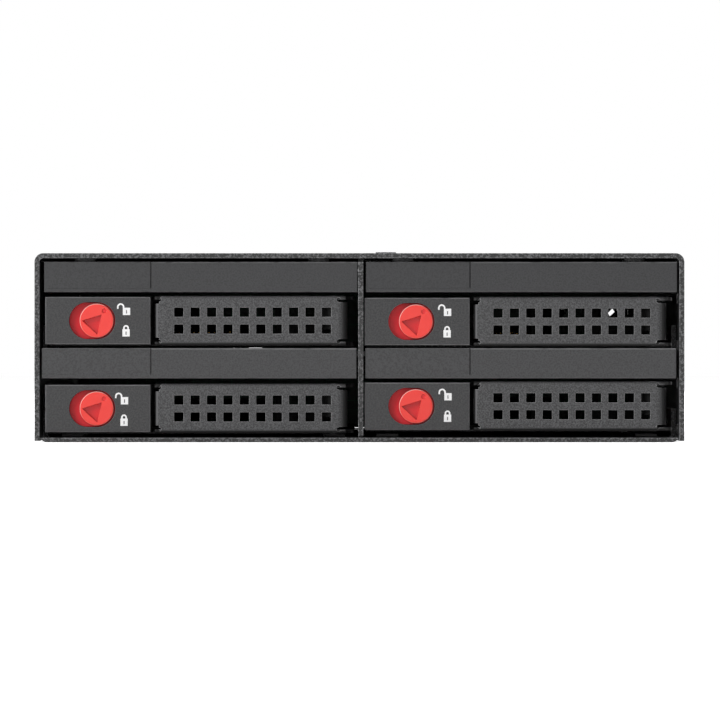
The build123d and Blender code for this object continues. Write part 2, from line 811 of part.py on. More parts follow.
# Fans: square frames with four struts, and rotors with swept blades
fan_size = ceiling - base_sheet - 2 * fan_clearance
fan_height = (ceiling + base_sheet) / 2
fan_center = flange_inner - fan_side_gap - fan_size / 2
fan_bore = fan_size / 2 - fan_bore_gap
fan_hole_offset = fan_size / 2 - fan_hole_inset
rotor_radius = fan_bore - rotor_tip_gap
motor_front = fan_rear - strut_depth
for side, sign in sides.items():
    with BuildPart() as fan_frame:
        with BuildSketch(front_view(fan_front)) as outline:
            with Locations((sign * fan_center, fan_height)):
                RectangleRounded(fan_size, fan_size, fan_corner_radius)
                Circle(fan_bore, mode=Mode.SUBTRACT)
                with GridLocations(2 * fan_hole_offset, 2 * fan_hole_offset, 2, 2):
                    Circle(fan_screw_radius, mode=Mode.SUBTRACT)
        extrude(outline.sketch, amount=-fan_thickness)
        with BuildSketch(front_view(motor_front)) as spider:
            with Locations((sign * fan_center, fan_height)):
                Circle(rotor_hub_radius)
                with PolarLocations((fan_bore + rotor_hub_radius) / 2, strut_count, 45):
                    Rectangle(fan_bore - rotor_hub_radius + 2 * strut_overlap, strut_width)
        extrude(spider.sketch, amount=-strut_depth)
        bearing_radius = shaft_radius + lock_fit + bearing_wall
        bearing_length = rotor_hub_height - bearing_clear
        bearing_front = front_view(motor_front - bearing_length)
        disc(bearing_front, sign * fan_center, fan_height, bearing_radius, -bearing_length)
        shaft_room = shaft_radius + lock_fit
        disc(bearing_front, sign * fan_center, fan_height, shaft_room, -bearing_length, Mode.SUBTRACT)
    save(fan_frame, f"fan_frame_{side}")

    hub_front = motor_front - rotor_hub_height - rotor_seat_gap
    with BuildPart() as fan_rotor:
        disc(front_view(hub_front), sign * fan_center, fan_height, rotor_hub_radius, -rotor_hub_height)
        fillet(fan_rotor.edges().group_by(Axis.Y)[0], rotor_edge_radius)
        # The hub is a cup over the motor
        cup_front = front_view(hub_front + hub_wall)
        cup_radius = rotor_hub_radius - hub_wall
        disc(cup_front, sign * fan_center, fan_height, cup_radius, -rotor_hub_height, Mode.SUBTRACT)
        shaft_front = hub_front + hub_wall / 2
        shaft_length = hub_front + rotor_hub_height - shaft_front
        disc(front_view(shaft_front), sign * fan_center, fan_height, shaft_radius, -shaft_length)
        blade_root = rotor_hub_radius - blade_root_depth
        blade_middle = hub_front + rotor_hub_height / 2 - cage_depth / 2
        for n in range(blade_count):
            angle = 2 * math.pi * n / blade_count
            radial = Vector(math.cos(angle), 0, math.sin(angle))
            around = Vector(-math.sin(angle), 0, math.cos(angle))
            hub = Vector(sign * fan_center, blade_middle, fan_height)
            sections = []
            for radius, pitch, chord in ((blade_root, *blade_root_set), (rotor_radius, *blade_tip_set)):
                tilt = math.radians(pitch)
                along = around * math.cos(tilt) + Vector(0, 1, 0) * math.sin(tilt)
                place = Plane(origin=hub + radial * radius, x_dir=along, z_dir=radial)
                with BuildSketch(place) as section:
                    Rectangle(chord, blade_thickness)
                sections.append(section.sketch)
            loft(sections)
        # The blade tips run round the same circle
        with BuildSketch(front_view(fan_front)) as tips:
            with Locations((sign * fan_center, fan_height)):
                Circle(fan_size)
                Circle(rotor_radius, mode=Mode.SUBTRACT)
        extrude(tips.sketch, amount=-fan_thickness, mode=Mode.SUBTRACT)
    save(fan_rotor, f"fan_rotor_{side}")

# Rear panel: finger guards over the fans, the cable window and side flanges
with BuildPart() as rear_panel:
    panel_half_width = wall_inner - sheet_slip
    panel_z = (base_sheet + sheet_slip, ceiling - sheet_slip)
    panel_x = (-panel_half_width, panel_half_width)
    rectangle(front_view(fan_rear), panel_x, panel_z, -base_sheet, corner=cover_corner_radius - cover_sheet)
    for sign in sides.values():
        flange_outer = sign * panel_half_width
        rectangle(
            side_view(flange_outer),
            (fan_rear - rear_flange_depth, fan_rear),
            (base_flange_height + base_sheet, ceiling - rear_flange_drop),
            -sign * (base_sheet - 2 * sheet_slip),
        )
        for height in rear_screw_heights:
            start = side_view(flange_outer)
            disc(start, rear_screw_depth, height, screw_radius, -sign * 2 * base_sheet, Mode.SUBTRACT)
        with BuildSketch(front_view(fan_rear)) as guard:
            with Locations((sign * fan_center, fan_height)):
                Circle(rotor_radius)
                ring_step = (fan_bore - rotor_hub_radius) / guard_ring_count
                for n in range(guard_ring_count - 1, -1, -1):
                    ring = rotor_hub_radius + n * ring_step
                    Circle(ring + guard_bar / 2, mode=Mode.SUBTRACT)
                    Circle(ring - guard_bar / 2)
                Circle(rotor_hub_radius - 1.5 * guard_bar, mode=Mode.SUBTRACT)
                with PolarLocations(0, 2, 45):
                    Rectangle(2 * fan_bore, strut_width, mode=Mode.SUBTRACT)
        extrude(guard.sketch, amount=-base_sheet, mode=Mode.SUBTRACT)
        for across in (-1, 1):
            for up in (-1, 1):
                place = screw_place(
                    sign * fan_center + across * fan_hole_offset,
                    cage_depth,
                    fan_height + up * fan_hole_offset,
                    (0, 1, 0),
                )
                countersunk_hole(place, 2 * base_sheet)
    rectangle(
        front_view(fan_rear),
        (-window_width / 2, window_width / 2),
        (fan_height - window_height / 2, fan_height + window_height / 2),
        -base_sheet,
        Mode.SUBTRACT,
        corner=window_round,
    )
save(rear_panel, "rear_panel")

with BuildPart() as fan_screws:
    for sign in sides.values():
        for across in (-1, 1):
            for up in (-1, 1):
                place = screw_place(
                    sign * fan_center + across * fan_hole_offset,
                    cage_depth,
                    fan_height + up * fan_hole_offset,
                    (0, 1, 0),
                )
                countersunk_screw(place, base_sheet + fan_screw_length)
save(fan_screws, "fan_screws")

with BuildPart() as case_screws:
    for x, depth, z, sign in side_screws:
        countersunk_screw(screw_place(x, depth, z, (sign, 0, 0)), cover_sheet + 0.9 * base_sheet)
    for side in sides:
        for x in strip_screw_columns(side):
            for row in rows:
                head = cage_height if row == "upper" else shelf_tops["upper"]
                web = shelf_tops[row] + row_pitch + strip_lap - strip_web_drop
                place = screw_place(x, strip_screw_depth, head, (0, 0, 1))
                countersunk_screw(place, head - web + strip_wall)
    for depth in top_screw_depths:
        place = screw_place(divider_top_screw_x, depth, cage_height, (0, 0, 1))
        countersunk_screw(place, cover_sheet + divider_sheet)
    for depth in divider_screw_depths:
        z = shelf_tops["upper"] - base_sheet - divider_screw_drop
        place = screw_place(divider_left - base_sheet, depth, z, (-1, 0, 0))
        pan_screw(place, divider_sheet + 2 * base_sheet)
save(case_screws, "case_screws")

with BuildPart() as board_screws:
    for x in board_tab_columns_low:
        place = screw_place(x, board_front, base_sheet + board_screw_rise, (0, -1, 0))
        pan_screw(place, board_thickness + base_sheet)
    for x in board_tab_columns_high:
        place = screw_place(x, board_front, ceiling - board_screw_rise, (0, -1, 0))
        pan_screw(place, board_thickness + cover_sheet)
save(board_screws, "board_screws")


def tray_floor():
    """Steel carrier: a flat plate under the drive with a tongue that the bezel is screwed to."""
    middle = drive_offset
    floor_view = top_view(-floor_drop)
    rear = front_depth + floor_length
    with BuildPart() as tray:
        floor_x = (middle - floor_width / 2, middle + floor_width / 2)
        rectangle(floor_view, floor_x, (front_depth, rear), floor_sheet)
        rectangle(floor_view, (tongue_left, tongue_right), (tongue_depth, front_depth), floor_sheet)
        corners = tray.edges().filter_by(Axis.Z).group_by(Axis.Y)[-1]
        chamfer(corners, floor_corner)
        # Air slots and the drive's screw holes
        with BuildSketch(floor_view) as vents:
            with Locations((middle, drive_start + drive_length / 2)):
                with GridLocations(floor_vent_pitch_x, floor_vent_pitch_y, 4, 3):
                    SlotOverall(floor_vent_length, floor_vent_width, rotation=90)
        extrude(vents.sketch, amount=floor_sheet, mode=Mode.SUBTRACT)
        for across in (-1, 1):
            for distance in drive_hole_depths:
                depth = drive_start + drive_length - distance
                x = middle + across * drive_hole_half_span
                disc(floor_view, x, depth, drive_hole_radius, floor_sheet, Mode.SUBTRACT)
        for x in tray_screw_columns:
            place = screw_place(x, tray_screw_depth, -floor_drop, (0, 0, -1))
            countersunk_hole(place, 2 * floor_sheet, tray_head_radius)
    return tray


def back_windows():
    """X and Z limits of the three air windows behind the lever, the last one over a screw boss."""
    first = lever_left + window_inset
    last = tray_screw_columns[1] - tray_boss_radius - window_inset
    middle = (first + last) / 2
    arm_left = pin_x - arm_inset - knuckle_arm_width
    tall = (-window_half_height, window_half_height)
    return (
        ((first, middle - window_bar / 2), tall),
        ((middle + window_bar / 2, last), tall),
        ((last + window_bar, arm_left - boss_window_wall), (boss_window_low, window_half_height)),
    )


def tray_bezel():
    """Moulded front: button panel with its slot, latch box, vented back and hinge knuckle."""
    half_panel = panel_height / 2
    inner_half = half_panel - box_roof
    back_front = front_depth - back_wall
    with BuildPart() as bezel:
        box_z = (-half_panel, half_panel)
        rectangle(front_view(face_depth), (0, panel_width), box_z, -(front_depth - face_depth))
        front_edges = bezel.edges().group_by(Axis.Y)[0]
        fillet(front_edges, panel_edge_radius)
        rectangle(
            front_view(face_depth + panel_wall),
            (box_wall, panel_width - box_wall),
            (-inner_half, inner_half),
            -(back_front - face_depth - panel_wall),
            Mode.SUBTRACT,
        )
        with BuildSketch(front_view(0)) as slot:
            with Locations((slot_left + slot_width / 2, 0)):
                SlotOverall(slot_width, slot_height)
        extrude(slot.sketch, amount=-(face_depth + panel_wall), mode=Mode.SUBTRACT)
        # Ribs that guide the slider behind the panel
        rib_front = slider_front + slider_plate + guide_rib_gap
        for end in (-1, 1):
            rib_z = sorted((end * (inner_half - guide_rib_height), end * inner_half))
            rib_x = (box_wall, panel_width - box_wall)
            rectangle(front_view(rib_front), rib_x, rib_z, -guide_rib_depth)
        # Window for the latch nose
        window_y = (nose_front - nose_room, nose_front + nose_depth + nose_room)
        window_z = (-nose_width / 2 - nose_room, nose_width / 2 + nose_room)
        rectangle(
            side_view(panel_width - box_wall),
            window_y,
            window_z,
            box_wall,
            Mode.SUBTRACT,
        )
        # Back behind the lever, with a rail along the top and bottom
        rail_end = pin_x - toe_reach_x - toe_radius
        back_x = (panel_width, pin_x + pin_radius)
        rectangle(front_view(back_front), back_x, box_z, -back_wall)
        for end in (-1, 1):
            rail_z = sorted((end * inner_half, end * half_panel))
            rail_x = (panel_width, rail_end)
            rail_front = face_depth + lever_catch_depth + rail_gap
            rectangle(front_view(rail_front), rail_x, rail_z, -(back_front - rail_front))
        for window_x, window_z in back_windows():
            rectangle(
                front_view(back_front),
                window_x,
                window_z,
                -back_wall,
                Mode.SUBTRACT,
                corner=window_corner,
            )
        # The floor's tongue lies in a step under the bezel, below two screw bosses
        step_top = -floor_drop + floor_sheet
        rectangle(
            top_view(-half_panel),
            (tongue_left - sheet_slip, tongue_right + sheet_slip),
            (tongue_depth - sheet_slip, front_depth),
            step_top + half_panel,
            Mode.SUBTRACT,
        )
        for x in tray_screw_columns:
            disc(top_view(step_top), x, tray_screw_depth, tray_boss_radius, tray_boss_height)
            bore = tray_boss_height - tray_boss_radius / 2
            disc(top_view(step_top), x, tray_screw_depth, screw_radius, bore, Mode.SUBTRACT)
        # Hinge knuckle on its arm; the torsion spring has the room under it
        knuckle_top = lever_height / 2 - lever_sheet - knuckle_clear
        knuckle_bottom = -knuckle_top + spring_room
        arm_right = pin_x - arm_inset
        with BuildSketch(top_view(knuckle_bottom)) as knuckle:
            with Locations((pin_x, pin_depth)):
                Circle(knuckle_radius)
            with Locations((arm_right - knuckle_arm_width / 2, (pin_depth + back_front) / 2)):
                Rectangle(knuckle_arm_width, back_front - pin_depth)
        extrude(knuckle.sketch, amount=knuckle_top - knuckle_bottom)
        rectangle(
            top_view(-knuckle_top),
            (arm_right - knuckle_arm_width, arm_right),
            (pin_depth + spring_leg - spring_hold, back_front),
            spring_room,
        )
        pin_view = top_view(knuckle_bottom)
        pin_room = knuckle_top - knuckle_bottom
        disc(pin_view, pin_x, pin_depth, pin_radius, pin_room, Mode.SUBTRACT)
    return bezel


def tray_lever():
    """Perforated lever: a face with flanges bent back on all four sides, ears and toes."""
    half = lever_height / 2
    left = lever_left
    right = lever_right
    center = (pin_x, pin_depth)
    face_end = right - lever_end_bend
    tab_end = face_end + lever_tab_reach
    with BuildPart() as lever:
        # Face with top and bottom flanges, as one channel section
        with BuildSketch(side_view(left)) as channel:
            with Locations((face_depth + lever_flange_depth / 2, 0)):
                Rectangle(lever_flange_depth, lever_height)
            fillet(channel.vertices().group_by(Axis.X)[0], lever_bend)
            with Locations((face_depth + lever_sheet + lever_flange_depth / 2, 0)):
                Rectangle(lever_flange_depth, lever_height - 2 * lever_sheet, mode=Mode.SUBTRACT)
        extrude(channel.sketch, amount=tab_end - left)
        # Slots between the bends at both ends
        end_half = lever_end_flange_height / 2
        inner_half = half - lever_sheet
        rectangle(
            front_view(0),
            (face_end, tab_end + 1),
            (-inner_half, inner_half),
            -(face_depth + lever_flange_depth + 1),
            Mode.SUBTRACT,
        )
        rectangle(
            front_view(0),
            (left - 1, left + lever_bend),
            (-inner_half, inner_half),
            -(face_depth + lever_flange_depth + 1),
            Mode.SUBTRACT,
        )
        # End flange at the hinge, bent back round a large radius
        outer = lever_end_bend
        inner = lever_end_bend - lever_sheet
        back = face_depth + lever_end_flange_depth
        bend_y = face_depth + lever_end_bend
        with BuildSketch(top_view(-end_half)) as end_flange:
            with BuildLine():
                Line((face_end, face_depth + lever_sheet), (face_end, face_depth))
                RadiusArc((face_end, face_depth), (right, bend_y), -outer)
                Line((right, bend_y), (right, back))
                Line((right, back), (right - lever_sheet, back))
                Line((right - lever_sheet, back), (right - lever_sheet, bend_y))
                RadiusArc((right - lever_sheet, bend_y), (face_end, face_depth + lever_sheet), inner)
            make_face()
        extrude(end_flange.sketch, amount=lever_end_flange_height)
        # Catch flange at the free end, with the window for the latch nose
        catch_back = face_depth + lever_catch_depth
        with BuildSketch(top_view(-lever_catch_height / 2)) as catch:
            with BuildLine():
                Line((left + lever_bend, face_depth + lever_sheet), (left + lever_bend, face_depth))
                RadiusArc((left + lever_bend, face_depth), (left, face_depth + lever_bend), lever_bend)
                Line((left, face_depth + lever_bend), (left, catch_back))
                Line((left, catch_back), (left + lever_sheet, catch_back))
                Line((left + lever_sheet, catch_back), (left + lever_sheet, face_depth + lever_sheet))
                Line(
                    (left + lever_sheet, face_depth + lever_sheet),
                    (left + lever_bend, face_depth + lever_sheet),
                )
            make_face()
        extrude(catch.sketch, amount=lever_catch_height)
        rectangle(
            side_view(left),
            (nose_front - nose_room, nose_front + nose_depth + nose_room),
            (-nose_width / 2 - nose_room, nose_width / 2 + nose_room),
            lever_sheet,
            Mode.SUBTRACT,
        )
        # Ears and toes in the plane of the two flanges
        toe = (center[0] + toe_reach_x, center[1] + toe_reach_y)
        for level in (-half, half - lever_sheet):
            with BuildSketch(top_view(level)) as ear:
                with BuildLine():
                    Polyline(
                        (center[0] - ear_reach, face_depth + lever_flange_depth - ear_overlap),
                        (center[0], center[1] - ear_radius + ear_shoulder),
                        (toe[0], toe[1] - toe_radius),
                        (toe[0], toe[1] + toe_radius),
                        (center[0], center[1] + ear_radius),
                        close=True,
                    )
                make_face()
                with Locations(center):
                    Circle(ear_radius)
                with Locations(toe):
                    Circle(toe_radius)
                with Locations(center):
                    Circle(pin_radius + pin_fit, mode=Mode.SUBTRACT)
            extrude(ear.sketch, amount=lever_sheet)
            disc(top_view(level), *center, pin_radius + pin_fit, lever_sheet, Mode.SUBTRACT)
        # Round reliefs at the four corners of the face
        with BuildSketch(front_view(0)) as reliefs:
            for x in (left + lever_bend, face_end):
                for z in (-inner_half, inner_half):
                    with Locations((x, z)):
                        Circle(lever_relief_radius)
        extrude(reliefs.sketch, amount=-(face_depth + lever_sheet), mode=Mode.SUBTRACT)
        # Air holes
        with BuildSketch(front_view(face_depth)) as holes:
            grid_x = left + vent_first_column + vent_pitch_x * (vent_columns - 1) / 2
            with Locations((grid_x, 0)):
                with GridLocations(vent_pitch_x, vent_pitch_z, vent_columns, vent_rows):
                    Rectangle(vent_hole, vent_hole)
        extrude(holes.sketch, amount=-lever_sheet, mode=Mode.SUBTRACT)
    return lever


def lever_spring():
    """Torsion spring round the pin under the knuckle, one leg on the lever and one on the arm."""
    coil_radius = pin_radius + spring_fit + spring_wire / 2
    pitch = spring_wire * spring_pitch_ratio
    bottom = -lever_height / 2 + lever_sheet + knuckle_clear + spring_wire
    side = spring_wire
    with BuildPart() as spring:
        for n in range(spring_turns):
            with BuildSketch(top_view(bottom + n * pitch)) as turn:
                with Locations((pin_x, pin_depth)):
                    Circle(coil_radius + side / 2)
                    Circle(coil_radius - side / 2, mode=Mode.SUBTRACT)
            extrude(turn.sketch, amount=pitch if n < spring_turns - 1 else side)
        leg_x = (pin_x - spring_leg, pin_x)
        leg_y = (pin_depth - coil_radius - side / 2, pin_depth - coil_radius + side / 2)
        rectangle(top_view(bottom + (spring_turns - 1) * pitch), leg_x, leg_y, side)
        back_x = (pin_x - coil_radius - side / 2, pin_x - coil_radius + side / 2)
        back_y = (pin_depth, pin_depth + spring_leg - spring_hold - sheet_slip)
        rectangle(top_view(bottom), back_x, back_y, side)
    return spring


def release_slider():
    """Red slider: plate behind the panel's slot, hub for the lock and the latch nose."""
    with BuildPart() as slider:
        plate_x = (slider_left, slider_right)
        plate_z = (-slider_half_height, slider_half_height)
        rectangle(front_view(slider_front), plate_x, plate_z, -slider_plate, corner=slider_corner)
        lock_x = lock_center
        disc(front_view(slider_front), lock_x, 0, hub_radius, -(slider_plate + hub_length))
        seat_x = (hub_seat_left, lock_x)
        seat_half = return_spring_radius + spring_seat_margin
        seat_z = (-seat_half, seat_half)
        rectangle(front_view(slider_front), seat_x, seat_z, -(slider_plate + hub_length))
        nose_x = (slider_right - nose_root, lever_left - nose_gap)
        nose_z = (-nose_width / 2, nose_width / 2)
        rectangle(front_view(nose_front), nose_x, nose_z, -nose_depth)
        tip_edges = slider.edges().filter_by(Axis.Z).group_by(Axis.X)[-1].sort_by(Axis.Y)
        chamfer(tip_edges[0], nose_bevel)
        bore = lock_stem_radius + lock_fit
        disc(front_view(slider_front), lock_x, 0, bore, -(slider_plate + hub_length), Mode.SUBTRACT)
    return slider


def lock_barrel():
    """Red key lock: round face with a triangular socket and an index dot, a stem and a cam."""
    x = lock_center
    face = face_depth - lock_proud
    with BuildPart() as barrel:
        disc(front_view(face), x, 0, lock_radius, -(slider_front - lock_fit - face))
        fillet(barrel.edges().group_by(Axis.Y)[0], lock_edge_radius)
        stem_front = face + lock_stem_depth
        disc(front_view(stem_front), x, 0, lock_stem_radius, -(slider_back + lock_fit - stem_front))
        with BuildSketch(front_view(slider_back + lock_fit)) as cam:
            with Locations((x, 0)):
                Circle(lock_stem_radius)
            with Locations((x, cam_radius / 2)):
                Rectangle(lock_stem_radius, cam_radius)
        extrude(cam.sketch, amount=-cam_thickness)
        with BuildSketch(front_view(face)) as socket:
            with Locations((x + key_shift_x, key_shift_z)):
                RegularPolygon(key_side / math.sqrt(3), 3, rotation=key_turn)
        extrude(socket.sketch, amount=-key_depth, mode=Mode.SUBTRACT)
        disc(front_view(face), x + index_x, index_z, index_radius, -index_depth, Mode.SUBTRACT)
    return barrel


def return_spring():
    """Compression spring between the latch box and the slider's seat, as closely set rings."""
    length = hub_seat_left - box_wall
    pitch = length / return_spring_turns
    start = box_wall
    depth = slider_front + slider_plate + hub_length / 2 + spring_wire
    with BuildPart() as spring:
        for n in range(return_spring_turns):
            with BuildSketch(side_view(start + n * pitch)) as turn:
                with Locations((depth, 0)):
                    Circle(return_spring_radius)
                    Circle(return_spring_radius - spring_wire, mode=Mode.SUBTRACT)
            extrude(turn.sketch, amount=spring_wire)
        with BuildSketch(side_view(start)) as core:
            for angle in (0, 180):
                with Locations((depth, 0)):
                    with PolarLocations(return_spring_radius - spring_wire / 2, 1, angle):
                        Rectangle(spring_wire, spring_wire)
        extrude(core.sketch, amount=length)
    return spring


def hinge_pin():
    """Steel pin through both ears of the lever and the knuckle."""
    with BuildPart() as pin:
        start = top_view(-lever_height / 2)
        disc(start, pin_x, pin_depth, pin_radius, lever_height)
    return pin


def tray_screws():
    """Two countersunk screws that come up through the floor's tongue into the bezel."""
    with BuildPart() as screws:
        for x in tray_screw_columns:
            place = screw_place(x, tray_screw_depth, -floor_drop, (0, 0, -1))
            countersunk_screw(place, floor_sheet + tray_boss_radius, tray_head_radius)
    return screws


# The four trays
tray_pieces = {
    "tray": tray_floor(),
    "bezel": tray_bezel(),
    "lever": tray_lever(),
    "hinge_pin": hinge_pin(),
    "lever_spring": lever_spring(),
    "release_slider": release_slider(),
    "lock_barrel": lock_barrel(),
    "slider_spring": return_spring(),
    "tray_screws": tray_screws(),
}
for row in rows:
    for side in sides:
        x, z = tray_origin(row, side)
        for piece, builder in tray_pieces.items():
            placed = builder.part.moved(Location((x, 0, z)))
            placed.label = f"{row}_{side}_{piece}"
            export_step(placed, f"parts/{row}_{side}_{piece}.step")

print("outer size", cage_width, cage_depth, cage_height)
print("tray origins", [tray_origin(row, side) for row in rows for side in sides])
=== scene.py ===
import math

import bmesh
import bpy
from mathutils import Matrix, Vector


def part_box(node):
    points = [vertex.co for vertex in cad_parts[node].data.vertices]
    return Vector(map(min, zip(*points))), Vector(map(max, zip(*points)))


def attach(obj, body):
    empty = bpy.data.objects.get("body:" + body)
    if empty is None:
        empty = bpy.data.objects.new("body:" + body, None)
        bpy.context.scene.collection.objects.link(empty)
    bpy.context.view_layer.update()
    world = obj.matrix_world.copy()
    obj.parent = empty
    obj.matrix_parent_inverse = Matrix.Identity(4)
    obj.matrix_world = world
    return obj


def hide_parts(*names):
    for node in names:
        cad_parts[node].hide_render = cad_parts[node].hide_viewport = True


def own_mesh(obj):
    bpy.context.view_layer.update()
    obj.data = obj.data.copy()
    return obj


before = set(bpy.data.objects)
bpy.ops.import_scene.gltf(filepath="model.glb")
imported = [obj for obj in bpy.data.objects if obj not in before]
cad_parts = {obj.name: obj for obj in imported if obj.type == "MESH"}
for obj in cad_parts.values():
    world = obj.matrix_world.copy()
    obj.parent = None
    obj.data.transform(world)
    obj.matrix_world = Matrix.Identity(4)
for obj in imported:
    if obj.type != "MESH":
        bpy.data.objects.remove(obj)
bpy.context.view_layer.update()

# Cage sheets: cover, bottom plate, divider, shelves and rear panel. Cold rolled steel about
# 1 mm thick, cut, bent and powder coated satin black. The coat is coarser on the cut edges.
# The faces toward the front are painted lighter, partly as a painted highlight, and the
# bevelled edges carry a painted highlight.
MM = 0.001


class Shade:
    """One output of a material's nodes. Arithmetic on numbers that vary adds Math nodes."""

    def __init__(self, tree, socket=None):
        self.tree = tree
        self.socket = socket

    def node(self, kind, settings, inputs, output=0):
        """Adds a node with its settings first, then the values or links of its sockets."""
        made = self.tree.nodes.new(kind)
        for name, value in settings.items():
            setattr(made, name, value)
        for name, value in inputs.items():
            if isinstance(value, Shade):
                self.tree.links.new(value.socket, made.inputs[name])
            elif isinstance(value, tuple) and made.inputs[name].type == "RGBA":
                made.inputs[name].default_value = (*value, 1)
            else:
                made.inputs[name].default_value = value
        return Shade(self.tree, made.outputs[output])

    def math(self, operation, first, second):
        return self.node("ShaderNodeMath", {"operation": operation}, {0: first, 1: second})

    def __add__(self, other):
        return self.math("ADD", self, other)

    def __sub__(self, other):
        return self.math("SUBTRACT", self, other)

    def __rsub__(self, other):
        return self.math("SUBTRACT", other, self)

    def __mul__(self, other):
        return self.math("MULTIPLY", self, other)

    __radd__ = __add__
    __rmul__ = __mul__

    def larger(self, other):
        return self.math("MAXIMUM", self, other)

    def limit(self, low, high):
        """The value spread from 0 at low to 1 at high, and held there beyond."""
        inputs = {"Value": self, "From Min": low, "From Max": high}
        return self.node("ShaderNodeMapRange", {"interpolation_type": "SMOOTHSTEP"}, inputs)

    def between(self, colour_a, colour_b):
        """A colour that goes from the first to the second as this value goes from 0 to 1."""
        inputs = {0: self, 6: colour_a, 7: colour_b}
        return self.node("ShaderNodeMix", {"data_type": "RGBA"}, inputs, 2)


class Finish:
    """A material with the place on the piece, its way of facing, its sharp and its round edges."""

    def __init__(self, name, edge_radius, **fixed):
        self.material = bpy.data.materials.new(name)
        self.material.use_nodes = True
        self.shader = self.material.node_tree.nodes["Principled BSDF"]
        for socket, value in fixed.items():
            self.shader.inputs[socket.replace("_", " ")].default_value = value
        start = Shade(self.material.node_tree)
        self.place = start.node("ShaderNodeTexCoord", {}, {}, "Object")
        self.normal = start.node("ShaderNodeBevel", {"samples": 6}, {"Radius": edge_radius})
        flat = start.node("ShaderNodeNewGeometry", {}, {}, "Normal")
        inputs = {0: self.normal, 1: flat}
        facing = start.node("ShaderNodeVectorMath", {"operation": "DOT_PRODUCT"}, inputs, "Value")
        self.edges = (1 - facing).limit(0.01, 0.16)
        faced = start.node("ShaderNodeTexCoord", {}, {}, "Normal")
        self.facing = [start.node("ShaderNodeSeparateXYZ", {}, {0: faced}, axis) for axis in "XYZ"]
        square_x, square_y, square_z = [part * part for part in self.facing]
        self.rounded = (1 - square_x.larger(square_y).larger(square_z)).limit(0.03, 0.3)

    def along(self, axis):
        """The place on the piece along X, Y or Z."""
        return self.place.node("ShaderNodeSeparateXYZ", {}, {0: self.place}, axis)

    def grain(self, size, detail=2.0, roughness=0.5):
        """Noise whose blotches are about this size."""
        inputs = {"Vector": self.place, "Scale": 1 / size, "Detail": detail, "Roughness": roughness}
        return self.place.node("ShaderNodeTexNoise", {}, inputs)

    def relief(self, height, depth):
        """Raises the surface by the height, 0 to 1, times the depth."""
        inputs = {"Strength": 1.0, "Distance": depth, "Height": height, "Normal": self.normal}
        self.drive("Normal", self.place.node("ShaderNodeBump", {}, inputs))

    def drive(self, socket, shade):
        """Links a value to a socket of the shader."""
        self.material.node_tree.links.new(shade.socket, self.shader.inputs[socket])


def wear(material, *nodes):
    """Gives CAD nodes this material."""
    for node in nodes:
        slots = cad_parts[node].material_slots
        for held in slots:
            held.material = material


COAT_FACE = (0.02, 0.02, 0.022)
COAT_SPECK = (0.066, 0.066, 0.069)
CUT_HOLLOW = (0.004, 0.004, 0.004)
CUT_SPECK = (0.12, 0.12, 0.124)
COAT_EDGE_HIGHLIGHT = (0.4, 0.4, 0.41)

coat = Finish("black_powder_coat", 0.3 * MM, Specular_IOR_Level=0.45)
patches = coat.grain(9 * MM, 3.0)
speckle = coat.grain(0.45 * MM, 2.0, 0.6)
face = speckle.limit(0.45, 0.72).between(COAT_FACE, COAT_SPECK)
cut = speckle.limit(0.48, 0.62).between(CUT_HOLLOW, CUT_SPECK)
# The faces that look to the front take the cut speckle, which is lighter: partly the coarser coat of the cut
# edges, partly a painted highlight.
toward_front = (0 - coat.facing[1]).limit(0.8, 0.95)
# Painted highlight: a light speckled colour along the bevelled edges.
painted_edge_highlight = coat.edges * speckle.limit(0.3, 0.58)
coat.drive("Base Color", painted_edge_highlight.between(toward_front.between(face, cut), COAT_EDGE_HIGHLIGHT))
plate_top = coat.facing[2].limit(0.8, 0.9) * (0 - coat.along("Z")).limit(-3 * MM, -2 * MM)
coat.drive("Roughness", (0.42 + 0.2 * speckle + 0.08 * patches).larger(plate_top))
coat.relief(speckle, 0.09 * MM)
wear(
    coat.material,
    "top_cover",
    "bottom_plate",
    "center_divider",
    "shelf_left",
    "shelf_right",
    "rear_panel",
)

# Strips: the four moulded bars over the trays. Glass filled ABS, satin, screwed down through
# pads at the back. The long edges are rounded and carry a painted highlight, weaker where they face down.
STRIP_LOW = (0.037, 0.037, 0.039)
STRIP_HIGH = (0.021, 0.021, 0.023)
STRIP_PORE = (0.35, 0.35, 0.35)
STRIP_EDGE_HIGHLIGHT = (0.16, 0.16, 0.164)

moulded = Finish("strip_satin_plastic", 0.3 * MM, Specular_IOR_Level=0.45)
skin = moulded.grain(0.35 * MM, 2.0)
cloud = moulded.grain(14 * MM, 2.0)
level = moulded.along("Z")
# The upper strips are coloured darker than the lower ones.
tone_by_height = level.limit(22 * MM, 34 * MM).between(STRIP_LOW, STRIP_HIGH)
inputs = {0: skin.limit(0.62, 0.3), 6: tone_by_height, 7: STRIP_PORE}
pored = moulded.place.node("ShaderNodeMix", {"data_type": "RGBA", "blend_type": "MULTIPLY"}, inputs, 2)
# Painted highlight along the rounded edges, in patches and weaker on the edges that face down.
edge_highlight_patches = moulded.grain(2.2 * MM, 3.0).limit(0.1, 0.6) * (1 - 0.6 * (0 - moulded.facing[2]).limit(0.1, 0.5))
strip_edge_highlight = moulded.rounded.larger(0.1 * moulded.edges) * edge_highlight_patches
moulded.drive("Base Color", strip_edge_highlight.between(pored, STRIP_EDGE_HIGHLIGHT))
moulded.drive("Roughness", 0.36 + 0.14 * skin + 0.06 * cloud)
moulded.relief(skin, 0.03 * MM)

places = ("upper_left", "upper_right", "lower_left", "lower_right")
for place in places:
    wear(moulded.material, f"strip_{place}")

# Glide strips: two under each tray, of black acetal, waxy and scuffed along the way that the
# trays slide.
WAXY = (0.012, 0.012, 0.013)
WAXY_WORN = (0.04, 0.04, 0.042)

